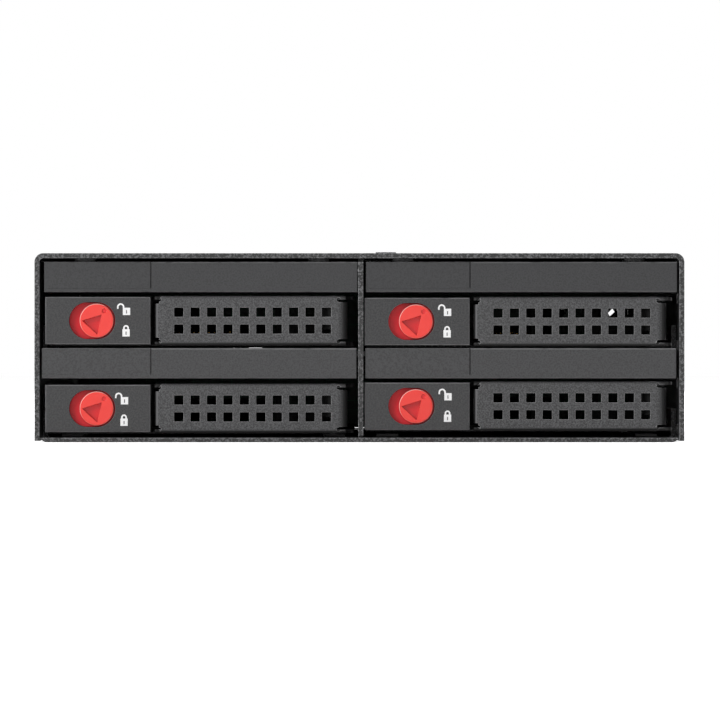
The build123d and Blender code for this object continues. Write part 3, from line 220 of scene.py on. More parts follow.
acetal = Finish("glide_acetal", 0.2 * MM, Specular_IOR_Level=0.45)
inputs = {"Vector": acetal.place, "Scale": 900.0, "Distortion": 0.4}
scuffs = acetal.place.node("ShaderNodeTexWave", {"bands_direction": "X"}, inputs)
acetal.drive("Base Color", (scuffs * acetal.grain(6 * MM)).between(WAXY, WAXY_WORN))
acetal.drive("Roughness", 0.34 + 0.14 * scuffs)
acetal.relief(scuffs, 0.004 * MM)
wear(acetal.material, "glide_strips")

# Backplane: glass epoxy board under green solder mask, with copper traces that show through
# as slightly raised lighter lines, and bare laminate at its routed edges.
MASK = (0.004, 0.045, 0.019)
MASK_TRACE = (0.009, 0.085, 0.036)
LAMINATE = (0.36, 0.33, 0.16)

laminate = Finish("green_board", 0.15 * MM, Specular_IOR_Level=0.22, Coat_Weight=0.1, Coat_Roughness=0.2)
inputs = {"Vector": laminate.place, "Scale": 420.0, "Randomness": 0.0}
settings = {"feature": "DISTANCE_TO_EDGE"}
traces = laminate.place.node("ShaderNodeTexVoronoi", settings, inputs).limit(0.08, 0.02)
routes = traces * laminate.grain(5 * MM, 1.0).limit(0.48, 0.56)
masked = routes.between(MASK, MASK_TRACE)
laminate.drive("Base Color", laminate.edges.between(masked, LAMINATE))
laminate.drive("Roughness", 0.3 + 0.12 * laminate.grain(1.1 * MM))
laminate.relief(routes, 0.03 * MM)
wear(laminate.material, "backplane")

# Connectors: the four drive receptacles, four data ports and two power inlets, moulded in
# glass filled black nylon, dull, with gold plated contacts.
NYLON = (0.017, 0.017, 0.018)
NYLON_WORN = (0.05, 0.05, 0.052)

nylon = Finish("connector_nylon", 0.15 * MM, Specular_IOR_Level=0.45)
fibre = nylon.grain(0.12 * MM, 2.0)
nylon.drive("Base Color", (nylon.edges * 0.6).between(NYLON, NYLON_WORN))
nylon.drive("Roughness", 0.5 + 0.16 * fibre)
nylon.relief(fibre, 0.006 * MM)
wear(nylon.material, "drive_connectors", "data_ports", "power_inlets")

GOLD = (0.9, 0.62, 0.22)
gilt = Finish("contact_gold", 0.04 * MM, Metallic=1.0)
gilt.drive("Base Color", gilt.grain(0.7 * MM).between(GOLD, (0.8, 0.52, 0.2)))
gilt.drive("Roughness", 0.2 + 0.16 * gilt.grain(0.3 * MM))


def solids(node):
    """The lowest and highest corners of each separate solid of a CAD node, with its points."""
    shell = bmesh.new()
    shell.from_mesh(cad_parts[node].data)
    bmesh.ops.remove_doubles(shell, verts=shell.verts, dist=0.001 * MM)
    left = set(shell.verts)
    found = []
    while left:
        grown = [left.pop()]
        island = list(grown)
        while grown:
            for edge in grown.pop().link_edges:
                for point in edge.verts:
                    if point in left:
                        left.remove(point)
                        grown.append(point)
                        island.append(point)
        points = [point.co.copy() for point in island]
        low = Vector([min(point[axis] for point in points) for axis in range(3)])
        high = Vector([max(point[axis] for point in points) for axis in range(3)])
        found.append((low, high, points))
    shell.free()
    return sorted(found, key=lambda solid: tuple(round(value, 5) for value in solid[0]))


def show(name, mesh, material, body):
    """Shows a finished mesh as a piece that rides on a body."""
    mesh.materials.append(material)
    piece = bpy.data.objects.new(name, mesh)
    bpy.context.scene.collection.objects.link(piece)
    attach(piece, body)
    return piece


def finished(name, shell, smooth=False):
    """Turns a bmesh into a mesh with sound normals."""
    bmesh.ops.recalc_face_normals(shell, faces=shell.faces)
    mesh = bpy.data.meshes.new(name)
    shell.to_mesh(mesh)
    shell.free()
    if smooth:
        mesh.shade_smooth()
        mesh.set_sharp_from_angle(angle=math.radians(35))
    return mesh


def bar(shell, low, high, chamfer=0.0):
    """Adds a bar between two corners, with its front and back edges eased by the chamfer."""
    rings = []
    for y, inset in ((low.y, chamfer), (low.y + chamfer, 0.0), (high.y - chamfer, 0.0), (high.y, chamfer)):
        ring = []
        for x, z in ((0, 0), (1, 0), (1, 1), (0, 1)):
            place_x = (low.x + inset, high.x - inset)[x]
            place_z = (low.z + inset, high.z - inset)[z]
            ring.append(shell.verts.new((place_x, y, place_z)))
        rings.append(ring)
    for near, far in zip(rings, rings[1:]):
        for n in range(4):
            shell.faces.new((near[n], near[n - 1], far[n - 1], far[n]))
    shell.faces.new(rings[0])
    shell.faces.new(rings[-1])


CONTACT_WIDTH = 0.6 * MM
CONTACT_PITCH = 1.27 * MM
SIGNAL_CONTACTS = 7
POWER_CONTACTS = 15
SIGNAL_START = 5.6 * MM
POWER_START = 18.6 * MM


def contact_row(shell, first, count, depths, heights, chamfer):
    """Adds a row of flat contacts at the contact pitch, from the middle of the first one."""
    for n in range(count):
        x = first + n * CONTACT_PITCH
        low = Vector((x - CONTACT_WIDTH / 2, depths[0], heights[0]))
        high = Vector((x + CONTACT_WIDTH / 2, depths[1], heights[1]))
        bar(shell, low, high, chamfer)


contacts = bmesh.new()
for low, high, points in solids("drive_connectors"):
    middle = (low.z + high.z) / 2
    depths = (low.y + 0.7 * MM, low.y + 4.8 * MM)
    heights = (middle - 0.64 * MM, middle - 0.34 * MM)
    for start, count in ((SIGNAL_START, SIGNAL_CONTACTS), (POWER_START, POWER_CONTACTS)):
        contact_row(contacts, low.x + start, count, depths, heights, 0.1 * MM)
show("drive_contacts", finished("drive_contacts", contacts), gilt.material, "cage")

for node, count in (("data_ports", SIGNAL_CONTACTS), ("power_inlets", POWER_CONTACTS)):
    contacts = bmesh.new()
    for low, high, points in solids(node):
        middle = (low.z + high.z) / 2
        first = (low.x + high.x) / 2 - (count - 1) * CONTACT_PITCH / 2
        depths = (low.y + 1.6 * MM, high.y - 1.3 * MM)
        heights = (middle - 0.72 * MM, middle - 0.56 * MM)
        contact_row(contacts, first, count, depths, heights, 0.05 * MM)
    name = f"{node}_contacts"
    show(name, finished(name, contacts), gilt.material, "cage")

# Fan headers: two blocks of natural white nylon, each moulded round three square pins that
# are soldered into the board.
NATURAL = (0.7, 0.68, 0.62)
header = Finish("header_nylon", 0.15 * MM, Specular_IOR_Level=0.45)
header.drive("Base Color", header.grain(3 * MM).between(NATURAL, (0.6, 0.58, 0.52)))
header.drive("Roughness", 0.42 + 0.15 * header.grain(0.2 * MM))
header.relief(header.grain(0.2 * MM), 0.006 * MM)
wear(header.material, "fan_headers")

# Fans: 40 mm axial fans of glass filled polyester. A frame with four struts holds the motor, and
# each rotor is a hub cup moulded with seven swept blades, thick at the root and thin at the
# edges, that all but close the bore when seen from the front.
FAN_FACE = (0.02, 0.02, 0.021)
FAN_WORN = (0.055, 0.055, 0.058)

polyester = Finish("fan_polyester", 0.3 * MM, Specular_IOR_Level=0.5)
flow = polyester.grain(0.5 * MM, 3.0)
polyester.drive("Base Color", (polyester.edges * 0.7).between(FAN_FACE, FAN_WORN))
polyester.drive("Roughness", 0.4 + 0.18 * flow)
polyester.relief(flow, 0.01 * MM)
wear(polyester.material, "fan_frame_left", "fan_frame_right")


def turned(profile, sides):
    """A solid of revolution about Z from radius and height pairs that start and end on the axis."""
    shell = bmesh.new()
    rings = []
    for radius, height in profile:
        if radius == 0:
            rings.append([shell.verts.new((0, 0, height))])
            continue
        ring = []
        for n in range(sides):
            angle = 2 * math.pi * n / sides
            ring.append(shell.verts.new((radius * math.cos(angle), radius * math.sin(angle), height)))
        rings.append(ring)
    for near, far in zip(rings, rings[1:]):
        for n in range(sides):
            corners = [near[n % len(near)], near[(n + 1) % len(near)]]
            corners += [far[(n + 1) % len(far)], far[n % len(far)]]
            shell.faces.new(list(dict.fromkeys(corners)))
    return finished("turned", shell)


BLADES = 7
BLADE_SECTIONS = 8
BLADE_POINTS = 9
BLADE_WIDTH = (math.radians(47), math.radians(47.6))
BLADE_RISE = (6.4 * MM, 5.2 * MM)
BLADE_SWEEP = (math.radians(4), math.radians(9))
BLADE_THICKNESS = (1.1 * MM, 0.8 * MM)
BLADE_EDGE = 0.08 * MM
BLADE_CAMBER = 0.16
BLADE_ROOT = 0.4 * MM
HUB_SIDES = 72
HUB_RADIUS = 10.5 * MM
HUB_WALL = 1.2 * MM
HUB_EDGE = 0.8 * MM
SHAFT_RADIUS = 1.0 * MM


def blade(shell, centre, radius, start):
    """Adds one swept, cambered and twisted blade from the hub to the tip circle."""
    rings = []
    for step in range(BLADE_SECTIONS):
        part = step / (BLADE_SECTIONS - 1)
        width, rise, sweep, thickness = (
            root + (tip - root) * part
            for root, tip in (BLADE_WIDTH, BLADE_RISE, BLADE_SWEEP, BLADE_THICKNESS)
        )
        reach = HUB_RADIUS - BLADE_ROOT + (radius - HUB_RADIUS + BLADE_ROOT) * part
        ring = []
        for side in (1, -1):
            for n in range(BLADE_POINTS):
                across = side * (1 - 2 * n / (BLADE_POINTS - 1))
                bulge = 1 - across**2
                angle = start + sweep + across * width / 2
                lift = rise * (across / 2 + BLADE_CAMBER * (bulge - 0.5))
                lift += side * (BLADE_EDGE + thickness / 2 * math.sqrt(bulge))
                x = centre.x + reach * math.cos(angle)
                z = centre.z + reach * math.sin(angle)
                ring.append(shell.verts.new((x, centre.y + lift, z)))
        rings.append(ring)
    for near, far in zip(rings, rings[1:]):
        for n in range(len(near)):
            shell.faces.new((near[n - 1], near[n], far[n], far[n - 1]))
    shell.faces.new(rings[0])
    shell.faces.new(rings[-1])


for side in ("left", "right"):
    low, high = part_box(f"fan_rotor_{side}")
    frame_low, frame_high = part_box(f"fan_frame_{side}")
    middle = (frame_low + frame_high) / 2
    centre = Vector((middle.x, (low.y + high.y) / 2, middle.z))
    depth = high.y - low.y
    cup = HUB_RADIUS - HUB_WALL
    profile = [(0, 0), (HUB_RADIUS - HUB_EDGE, 0), (HUB_RADIUS - 0.3 * HUB_EDGE, 0.3 * HUB_EDGE)]
    profile += [(HUB_RADIUS, HUB_EDGE), (HUB_RADIUS, depth), (cup, depth), (cup, HUB_WALL)]
    profile += [(SHAFT_RADIUS, HUB_WALL), (SHAFT_RADIUS, depth), (0, depth)]
    hub = turned(profile, HUB_SIDES)
    hub.transform(Matrix.Translation((centre.x, low.y, centre.z)) @ Matrix.Rotation(-math.pi / 2, 4, "X"))
    rotor = bmesh.new()
    rotor.from_mesh(hub)
    for n in range(BLADES):
        blade(rotor, centre, high.x - middle.x, 2 * math.pi * n / BLADES)
    name = f"{side}_swept_rotor"
    piece = show(name, finished(name, rotor, smooth=True), polyester.material, f"{side}_rotor")
    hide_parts(f"fan_rotor_{side}")

# Screws: cross recessed M3 screws of rolled steel. Those of the case and the fans are blacked,
# and those of the board and the trays are zinc plated.
SCREW_SIDES = 40
SHANK_RADIUS = 1.2 * MM
TIP_BEVEL = 0.2 * MM
FLAT_HEAD_EDGE = 0.05 * MM
PAN_HEIGHT = 1.1 * MM
PAN_CURVE = ((0.55, 0.04 * MM), (0.85, 0.25 * MM), (1.0, 0.7 * MM))
RECESS_SPAN = 2.4 * MM
RECESS_SLOT = 0.55 * MM
RECESS_DEPTH = 0.75 * MM
RECESS_TAPER = 0.55
SCREW_TURN = 37

oxide = Finish("screw_black_oxide", 0.12 * MM, Metallic=0.7)
oiled = oxide.grain(0.3 * MM, 3.0)
oxide.drive("Base Color", (oxide.edges * oiled).between((0.035, 0.034, 0.034), (0.2, 0.19, 0.18)))
oxide.drive("Roughness", 0.3 + 0.2 * oiled)
oxide.relief(oiled, 0.006 * MM)

zinc = Finish("screw_zinc", 0.12 * MM, Metallic=1.0)
plated = zinc.grain(0.4 * MM, 3.0)
zinc.drive("Base Color", plated.between((0.62, 0.63, 0.64), (0.48, 0.48, 0.5)))
zinc.drive("Roughness", 0.22 + 0.2 * plated)
zinc.relief(plated, 0.005 * MM)


def driver_cross():
    """The tapered cross that the driver leaves in a head, standing a little above Z = 0."""
    shell = bmesh.new()
    ends = ((0.1 * MM, 1.0), (-RECESS_DEPTH, RECESS_TAPER))
    arms = (RECESS_SPAN / 2, RECESS_SLOT / 2)
    rings = []
    for height, shrink in ends:
        ring = []
        for quarter in range(4):
            turn = Matrix.Rotation(quarter * math.pi / 2, 3, "Z")
            for x, y in ((arms[0], -arms[1]), (arms[0], arms[1]), (arms[1], arms[1])):
                place = turn @ Vector((x * shrink, y * shrink, 0))
                ring.append(shell.verts.new((place.x, place.y, height)))
        rings.append(ring)
    for n in range(12):
        shell.faces.new((rings[0][n - 1], rings[0][n], rings[1][n], rings[1][n - 1]))
    shell.faces.new(rings[0])
    shell.faces.new(rings[1])
    return finished("driver_cross", shell)


def recessed(profile):
    """A turned screw with the driver's cross cut into its head."""
    blank = bpy.data.objects.new("blank", turned(profile, SCREW_SIDES))
    cross = bpy.data.objects.new("cross", driver_cross())
    for part in (blank, cross):
        bpy.context.scene.collection.objects.link(part)
    cut = blank.modifiers.new("recess", "BOOLEAN")
    cut.operation = "DIFFERENCE"
    cut.solver = "EXACT"
    cut.object = cross
    depsgraph = bpy.context.evaluated_depsgraph_get()
    shape = bpy.data.meshes.new_from_object(blank.evaluated_get(depsgraph))
    for part in (blank, cross):
        bpy.data.objects.remove(part)
    return shape


def screws(node, material, body):
    """Replaces a node's plain screws with recessed ones, each on its own axis, head and length."""
    joined = bmesh.new()
    for low, high, points in solids(node):
        spans = high - low
        axis = min(range(3), key=lambda n: abs(spans[n - 1] - spans[n - 2]))
        middle = (low + high) / 2
        radius = spans[axis - 1] / 2
        length = spans[axis]
        rim = set()
        for point in points:
            reach = point - middle
            along = reach[axis]
            if math.sqrt(max(reach.length_squared - along**2, 0)) > 0.97 * radius:
                rim.add(round(along, 5))
        out = 1 if sum(rim) > 0 else -1
        if len(rim) > 1:
            profile = [(0, 0.0)] + [(share * radius, -drop) for share, drop in PAN_CURVE]
            profile += [(radius, -PAN_HEIGHT), (SHANK_RADIUS, -PAN_HEIGHT)]
        else:
            profile = [(0, 0.0), (radius - FLAT_HEAD_EDGE, 0.0), (radius, -FLAT_HEAD_EDGE)]
            profile += [(SHANK_RADIUS, SHANK_RADIUS - radius)]
        profile += [(SHANK_RADIUS, TIP_BEVEL - length), (SHANK_RADIUS - TIP_BEVEL, -length), (0, -length)]
        shape = recessed(profile)
        outward = Vector([out if n == axis else 0 for n in range(3)])
        spin = Matrix.Rotation(math.radians(SCREW_TURN * len(joined.verts) % 90), 4, "Z")
        turn = outward.to_track_quat("Z", "Y").to_matrix().to_4x4()
        shape.transform(Matrix.Translation(middle + outward * length / 2) @ turn @ spin)
        joined.from_mesh(shape)
    piece = show(f"{node}_recessed", finished(f"{node}_recessed", joined), material, body)
    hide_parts(node)


screws("case_screws", oxide.material, "cage")
screws("fan_screws", oxide.material, "cage")
screws("board_screws", zinc.material, "cage")

# Tray floor: sheet steel with air slots, powder coated black like the cage and screwed to the
# bezel from below. The drives have rubbed the coat along the slide.
TRAY_FACE = (0.018, 0.018, 0.019)
TRAY_SPECK = (0.055, 0.055, 0.057)
TRAY_SCUFF = (0.1, 0.1, 0.104)

thin_coat = Finish("tray_powder_coat", 0.2 * MM, Specular_IOR_Level=0.5)
grains = thin_coat.grain(0.4 * MM, 2.0, 0.6)
inputs = {"Vector": thin_coat.place, "Scale": 240.0}
inputs |= {"Distortion": 3.0, "Detail": 3.0, "Detail Scale": 2.0}
streaks = thin_coat.place.node("ShaderNodeTexWave", {"bands_direction": "X"}, inputs)
scuffs = streaks.limit(0.75, 1.0) * thin_coat.grain(12 * MM, 2.0).limit(0.5, 0.7)
ground = grains.limit(0.45, 0.72).between(TRAY_FACE, TRAY_SPECK)
thin_coat.drive("Base Color", scuffs.larger(0.7 * thin_coat.edges).between(ground, TRAY_SCUFF))
thin_coat.drive("Roughness", 0.42 + 0.2 * grains - 0.1 * scuffs)
thin_coat.relief(grains, 0.05 * MM)
for tray in places:
    wear(thin_coat.material, f"{tray}_tray")
    screws(f"{tray}_tray_screws", zinc.material, f"{tray}_tray")

# Bezel: the tray's moulded front in one piece with the latch box and the hinge knuckle.
# Black ABS with a fine spark eroded texture on the panel and softly rounded edges, which carry a
# painted highlight; the moulding behind the front face is painted near black as shade and made rough.
PANEL_FACE = (0.009, 0.009, 0.01)
PANEL_GRAIN = (0.032, 0.032, 0.033)
PANEL_EDGE_HIGHLIGHT = (0.2, 0.2, 0.205)
PANEL_PAINTED_SHADE = (0.004, 0.004, 0.004)
PANEL_FRONT_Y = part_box("upper_left_bezel")[0].y

textured = Finish("panel_textured_plastic", 0.25 * MM, Specular_IOR_Level=0.45)
spark = textured.grain(0.38 * MM, 2.0, 0.6)
# Painted highlight on the edges and rounded faces, in patches.
painted_light = textured.edges.larger(textured.rounded) * textured.grain(1.6 * MM, 3.0).limit(0.1, 0.6)
ground = spark.limit(0.35, 0.65).between(PANEL_FACE, PANEL_GRAIN)
depth = textured.along("Y")
# Painted shade: everything more than about a millimetre behind the front face is painted near black.
inner_painted_shade = depth.limit(PANEL_FRONT_Y + 0.5 * MM, PANEL_FRONT_Y + 1.3 * MM)
textured.drive("Base Color", inner_painted_shade.between((0.7 * painted_light).between(ground, PANEL_EDGE_HIGHLIGHT), PANEL_PAINTED_SHADE))
textured.drive("Roughness", (0.38 + 0.18 * spark).larger(0.95 * inner_painted_shade))
textured.relief(spark, 0.03 * MM)
for tray in places:
    wear(textured.material, f"{tray}_bezel")

# Lever: perforated steel handle bent on all four sides, with a thicker, rougher black powder
# coat than the cage, which rounds the edges of its square air holes. Its colour carries painted
# light: a painted highlight on the bend that faces left, round the corners and on the rims of the
# holes, and painted shade towards the hinge, on the bends that face right or down, on the outer
# part of the left bend and in two corners at the left end.
LEVER_FACE = (0.036, 0.036, 0.037)
LEVER_GRIT = (0.1, 0.1, 0.103)
LEVER_PAINTED_SHADE = (0.01, 0.01, 0.01)
LEVER_PAINTED_HIGHLIGHT = (0.13, 0.13, 0.134)
LEVER_RIM_HIGHLIGHT = (0.36, 0.36, 0.365)
HINGE_SHADE = (4.2 * MM, 1.4 * MM)
PAINTED_CORNER_SIZE = 1.7 * MM

for tray in places:
    thick_coat = Finish(f"{tray}_lever_powder_coat", 0.25 * MM, Specular_IOR_Level=0.3)
    peel = thick_coat.grain(0.9 * MM, 2.0, 0.5)
    grit = thick_coat.grain(0.3 * MM, 2.0, 0.65)
    reach = thick_coat.along("X")
    level = thick_coat.along("Z")
    low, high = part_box(f"{tray}_lever")
    # Painted shade: the coat darkens over the last few millimetres towards the hinge end.
    hinge = reach.limit(high.x - HINGE_SHADE[0], high.x - HINGE_SHADE[1])
    # Painted shade in two small corners at the left end, standing in for the notches there.
    over = (low.x + PAINTED_CORNER_SIZE - high.z) - (reach - level)
    below = (low.x + PAINTED_CORNER_SIZE + low.z) - (reach + level)
    corner = over.larger(below)
    cut = corner.limit(0.0, 0.15 * MM)
    facing_left = 0 - thick_coat.facing[0]
    # Painted shade on the bends that face right or down and on the outer part of the bend that faces left.
    under = thick_coat.rounded * thick_coat.facing[0].larger(0 - thick_coat.facing[2]).limit(0.05, 0.5)
    shaded = hinge.larger(cut).larger(under).larger(facing_left.limit(0.5, 0.8))
    # Painted highlight on the bend that faces left and in a band round the painted corners.
    left_bend_highlight = (thick_coat.rounded * facing_left.limit(0.05, 0.3)).larger(corner.limit(-0.35 * MM, -0.1 * MM))
    ground = grit.limit(0.34, 0.68).between(LEVER_FACE, LEVER_GRIT)
    painted_light = (left_bend_highlight * (1 - shaded)).between(shaded.between(ground, LEVER_PAINTED_SHADE), LEVER_PAINTED_HIGHLIGHT)
    # Painted highlight on the rims of the air holes and the other sharp edges.
    hole_rim_highlight = thick_coat.edges * grit.limit(0.1, 0.5) * (1 - shaded)
    thick_coat.drive("Base Color", hole_rim_highlight.between(painted_light, LEVER_RIM_HIGHLIGHT))
    thick_coat.drive("Roughness", 0.45 + 0.2 * grit)
    thick_coat.relief(0.5 * peel + 0.5 * grit, 0.07 * MM)
    wear(thick_coat.material, f"{tray}_lever")

# Hinge pins: bright drawn steel, cut to length and pressed through the lever's ears and the
# bezel's knuckle.
drawn = Finish("drawn_steel", 0.05 * MM, Metallic=1.0)
inputs = {"Vector": drawn.place, "Scale": 1500.0, "Distortion": 1.5}
draw_lines = drawn.place.node("ShaderNodeTexWave", {"bands_direction": "Z"}, inputs)
drawn.drive("Base Color", draw_lines.between((0.64, 0.64, 0.63), (0.5, 0.5, 0.5)))
drawn.drive("Roughness", 0.2 + 0.15 * draw_lines)
for tray in places:
    wear(drawn.material, f"{tray}_hinge_pin")

# Release slider: red acetal plate behind the stadium hole, with its hub and its latch nose.
# The nose, which sits in the dark gap beside the lever, is painted black as shade.
SLIDER_RED = (0.74, 0.013, 0.024)
SLIDER_DEEP = (0.6, 0.011, 0.02)
NOSE_PAINTED_SHADE = (0.004, 0.004, 0.004)
NOSE_LENGTH = 1.7 * MM

for tray in places:
    slider_red = Finish(f"{tray}_slider_acetal", 0.2 * MM, Specular_IOR_Level=0.3)
    slider_skin = slider_red.grain(0.3 * MM, 2.0)
    reach = slider_red.along("X")
    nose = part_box(f"{tray}_release_slider")[1].x - NOSE_LENGTH
    # Painted shade: the latch nose is painted black.
    painted_nose_shade = reach.limit(nose - 0.1 * MM, nose + 0.1 * MM)
    acetal_red = slider_red.grain(4 * MM).between(SLIDER_RED, SLIDER_DEEP)
    slider_red.drive("Base Color", painted_nose_shade.between(acetal_red, NOSE_PAINTED_SHADE))
    slider_red.drive("Roughness", 0.3 + 0.15 * slider_skin)
    slider_red.relief(slider_skin, 0.006 * MM)
    wear(slider_red.material, f"{tray}_release_slider")

# Lock barrel: polished red acetal disc, moulded with the key's triangular socket and an index
# dot. It turns a quarter in the slider's hub.
LOCK_RED = (0.96, 0.056, 0.042)
LOCK_CLOUD = (0.88, 0.042, 0.032)
LOCK_RIM_HIGHLIGHT = (1.0, 0.16, 0.13)
LOCK_UPPER_LEFT_HIGHLIGHT = (1.0, 0.5, 0.45)
LOCK_SOCKET_SHADE = (0.74, 0.008, 0.014)
LOCK_FACE_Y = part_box("upper_left_lock_barrel")[0].y

lock_red = Finish("lock_red_acetal", 0.25 * MM, Specular_IOR_Level=0.35)
polish = lock_red.grain(0.4 * MM, 2.0)
depth = lock_red.along("Y")
# Painted shade: the socket and the index dot, below the face, are painted a darker red.
socket = depth.limit(LOCK_FACE_Y + 0.1 * MM, LOCK_FACE_Y + 0.32 * MM)
face = lock_red.grain(3 * MM).between(LOCK_RED, LOCK_CLOUD)
# Painted highlight: the rounded rim and the socket's walls are painted a lighter red, palest where they face
# up or to the left.
rim = (1 - lock_red.facing[1] * lock_red.facing[1]).limit(0.05, 0.5)
upper_left_highlight = (lock_red.facing[2] - lock_red.facing[0]).limit(0.0, 0.7)
with_rim_highlight = rim.between(face, upper_left_highlight.between(LOCK_RIM_HIGHLIGHT, LOCK_UPPER_LEFT_HIGHLIGHT))
lock_red.drive("Base Color", socket.between(with_rim_highlight, LOCK_SOCKET_SHADE))
lock_red.drive("Roughness", 0.16 + 0.12 * polish)
lock_red.relief(polish, 0.004 * MM)
for tray in places:
    wear(lock_red.material, f"{tray}_lock_barrel")

# Springs: the torsion spring at the hinge and the compression spring behind the slider, both
# wound from the same drawn wire. They are helices here, where the CAD has closed rings.
WIRE = 0.34 * MM
WIRE_STEPS = 20


def wire(name, points, body, tray_node):
    """A round wire along a list of points, which stands for the CAD node."""
    line = bpy.data.curves.new(name, "CURVE")
    line.dimensions = "3D"
    line.bevel_depth = WIRE / 2
    line.bevel_resolution = 3
    line.use_fill_caps = True
    run = line.splines.new("POLY")
    run.points.add(len(points) - 1)
    for held, point in zip(run.points, points):
        held.co = (*point, 1)
    bent = bpy.data.objects.new(name, line)
    bpy.context.scene.collection.objects.link(bent)
    depsgraph = bpy.context.evaluated_depsgraph_get()
    mesh = bpy.data.meshes.new_from_object(bent.evaluated_get(depsgraph))
    bpy.data.objects.remove(bent)
    mesh.name = name
    mesh.materials.clear()
    mesh.shade_smooth()
    piece = show(name, mesh, drawn.material, body)
    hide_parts(tray_node)
    return piece


TORSION_TURNS = 3
TORSION_RADIUS = 1.27 * MM
COMPRESSION_TURNS = 5
COMPRESSION_RADIUS = 1.13 * MM

for tray in places:
    low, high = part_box(f"{tray}_lever_spring")
    pin_low, pin_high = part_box(f"{tray}_hinge_pin")
    pin = (pin_low + pin_high) / 2
    base = low.z + WIRE / 2
    coil = [Vector((pin.x - TORSION_RADIUS, y, base)) for y in (high.y, pin.y)]
    steps = TORSION_TURNS * WIRE_STEPS - WIRE_STEPS // 4
    for n in range(1, steps + 1):
        angle = math.pi + 2 * math.pi * n / WIRE_STEPS
        rise = base + (high.z - WIRE / 2 - base) * n / steps
        turn = Vector((math.cos(angle), math.sin(angle), 0)) * TORSION_RADIUS
        coil.append(Vector((pin.x + turn.x, pin.y + turn.y, rise)))
    coil.append(Vector((low.x + WIRE / 2, coil[-1].y, high.z - WIRE / 2)))
    wire(f"{tray}_torsion_spring", coil, f"{tray}_tray", f"{tray}_lever_spring")

    low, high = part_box(f"{tray}_slider_spring")
    middle = (low + high) / 2
    coil = []
    steps = COMPRESSION_TURNS * WIRE_STEPS
    for n in range(steps + 1):
        angle = 2 * math.pi * n / WIRE_STEPS
        turn = Vector((0, math.cos(angle), math.sin(angle))) * COMPRESSION_RADIUS
        reach = low.x + WIRE / 2 + (high.x - low.x - WIRE) * n / steps
        coil.append(Vector((reach, middle.y + turn.y, middle.z + turn.z)))
    spring = wire(f"{tray}_return_spring", coil, f"{tray}_tray", f"{tray}_slider_spring")
    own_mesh(spring)

# Padlocks: two small white pictograms printed on each panel, open above and closed below. They
# are plain lock signs of no maker, in ink a few hundredths of a millimetre thick. Their places
# and sizes are in millimetres from the left end and the middle of the panel.
INK = (1.0, 1.0, 1.0)
INK_THICKNESS = 0.02 * MM
STROKE = 0.36 * MM
BOW_STEPS = 12
KEYHOLE_WIDTH = 0.2 * MM
KEYHOLE_SHARES = (0.22, 0.68)

ink = Finish("white_print", 0.02 * MM, Specular_IOR_Level=0.4)
ink.drive("Base Color", ink.grain(0.3 * MM, 3.0).between(INK, (0.9, 0.9, 0.9)))
ink.drive("Roughness", 0.5 + 0.2 * ink.grain(0.15 * MM))


def printed(shell, loops, front):
    """Adds a flat print as thick as the ink: the first loop of X and Z pairs less any others."""
    for y in (front, front + INK_THICKNESS):
        edges = []
        for loop in loops:
            corners = [shell.verts.new((x, y, z)) for x, z in loop]
            edges += [shell.edges.new((corners[n - 1], corners[n])) for n in range(len(corners))]
        bmesh.ops.triangle_fill(shell, edges=edges, use_beauty=True, use_dissolve=False)
        if y == front:
            near = edges
    for first, second in zip(near, edges):
        shell.faces.new((first.verts[0], first.verts[1], second.verts[1], second.verts[0]))


def shackle(middle, foot, span, rise):
    """The outline of a padlock's bow: two straight legs and a half round top."""
    outer = []
    inner = []
    half = span / 2
    held = half - STROKE
    for n in range(BOW_STEPS + 1):
        angle = math.pi * n / BOW_STEPS
        outer.append((middle - half * math.cos(angle), rise - half + half * math.sin(angle)))
        inner.append((middle + held * math.cos(angle), rise - half + held * math.sin(angle)))
    left_foot, right_foot = foot
    start = [(middle - half, left_foot)]
    turn = [(middle + half, right_foot), (middle + half - STROKE, right_foot)]
    end = [(middle - half + STROKE, left_foot)]
    return start + outer + turn + inner + end


def lock_body(low_x, high_x, low_z, high_z):
    """The outline of a padlock's body and of its keyhole slit."""
    slit = (low_x + high_x) / 2
    half = KEYHOLE_WIDTH / 2
    foot, top = (low_z + share * (high_z - low_z) for share in KEYHOLE_SHARES)
    body = [(low_x, low_z), (high_x, low_z), (high_x, high_z), (low_x, high_z)]
    return body, [(slit - half, foot), (slit - half, top), (slit + half, top), (slit + half, foot)]


PADLOCKS = {
    "open": ((17.68, 19.33), (1.2, 2.85), 17.2, (2.6, 2.85), 3.85, 1.66),
    "closed": ((17.58, 19.23), (-3.62, -1.97), 18.4, (-1.97, -1.97), -1.05, 1.3),
}
PRINT_SHIFTS = {
    "upper_left": (-0.2, 0.05),
    "upper_right": (0.2, 0.03),
    "lower_left": (-0.65, -0.28),
    "lower_right": (0.3, 0.12),
}

for tray, (shift_x, shift_z) in PRINT_SHIFTS.items():
    low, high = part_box(f"{tray}_bezel")
    left = low.x + shift_x * MM
    front = low.y - INK_THICKNESS
    middle_z = (low.z + high.z) / 2 + shift_z * MM
    for name, (body_x, body_z, bow_x, feet, bow_top, bow_span) in PADLOCKS.items():
        sign = bmesh.new()
        xs = [left + value * MM for value in body_x]
        zs = [middle_z + value * MM for value in body_z]
        printed(sign, lock_body(*xs, *zs), front)
        feet_z = [middle_z + value * MM for value in feet]
        bow = shackle(left + bow_x * MM, feet_z, bow_span * MM, middle_z + bow_top * MM)
        printed(sign, [bow], front)
        title = f"{tray}_{name}_padlock_print"
        show(title, finished(title, sign), ink.material, f"{tray}_tray")

# Photo set: a pale floor that the object stands on, soft boxes given by place, side in metres
# and power in watts, and a long lens square to the front, at the height of the cage's middle.
FLOOR_SPAN = 8.0
FLOOR_COLOUR = (0.86, 0.86, 0.86)
FLOOR_LIFT = 0.85
FLOOR_DROP = 0.02 * MM
AMBIENT = 0.15

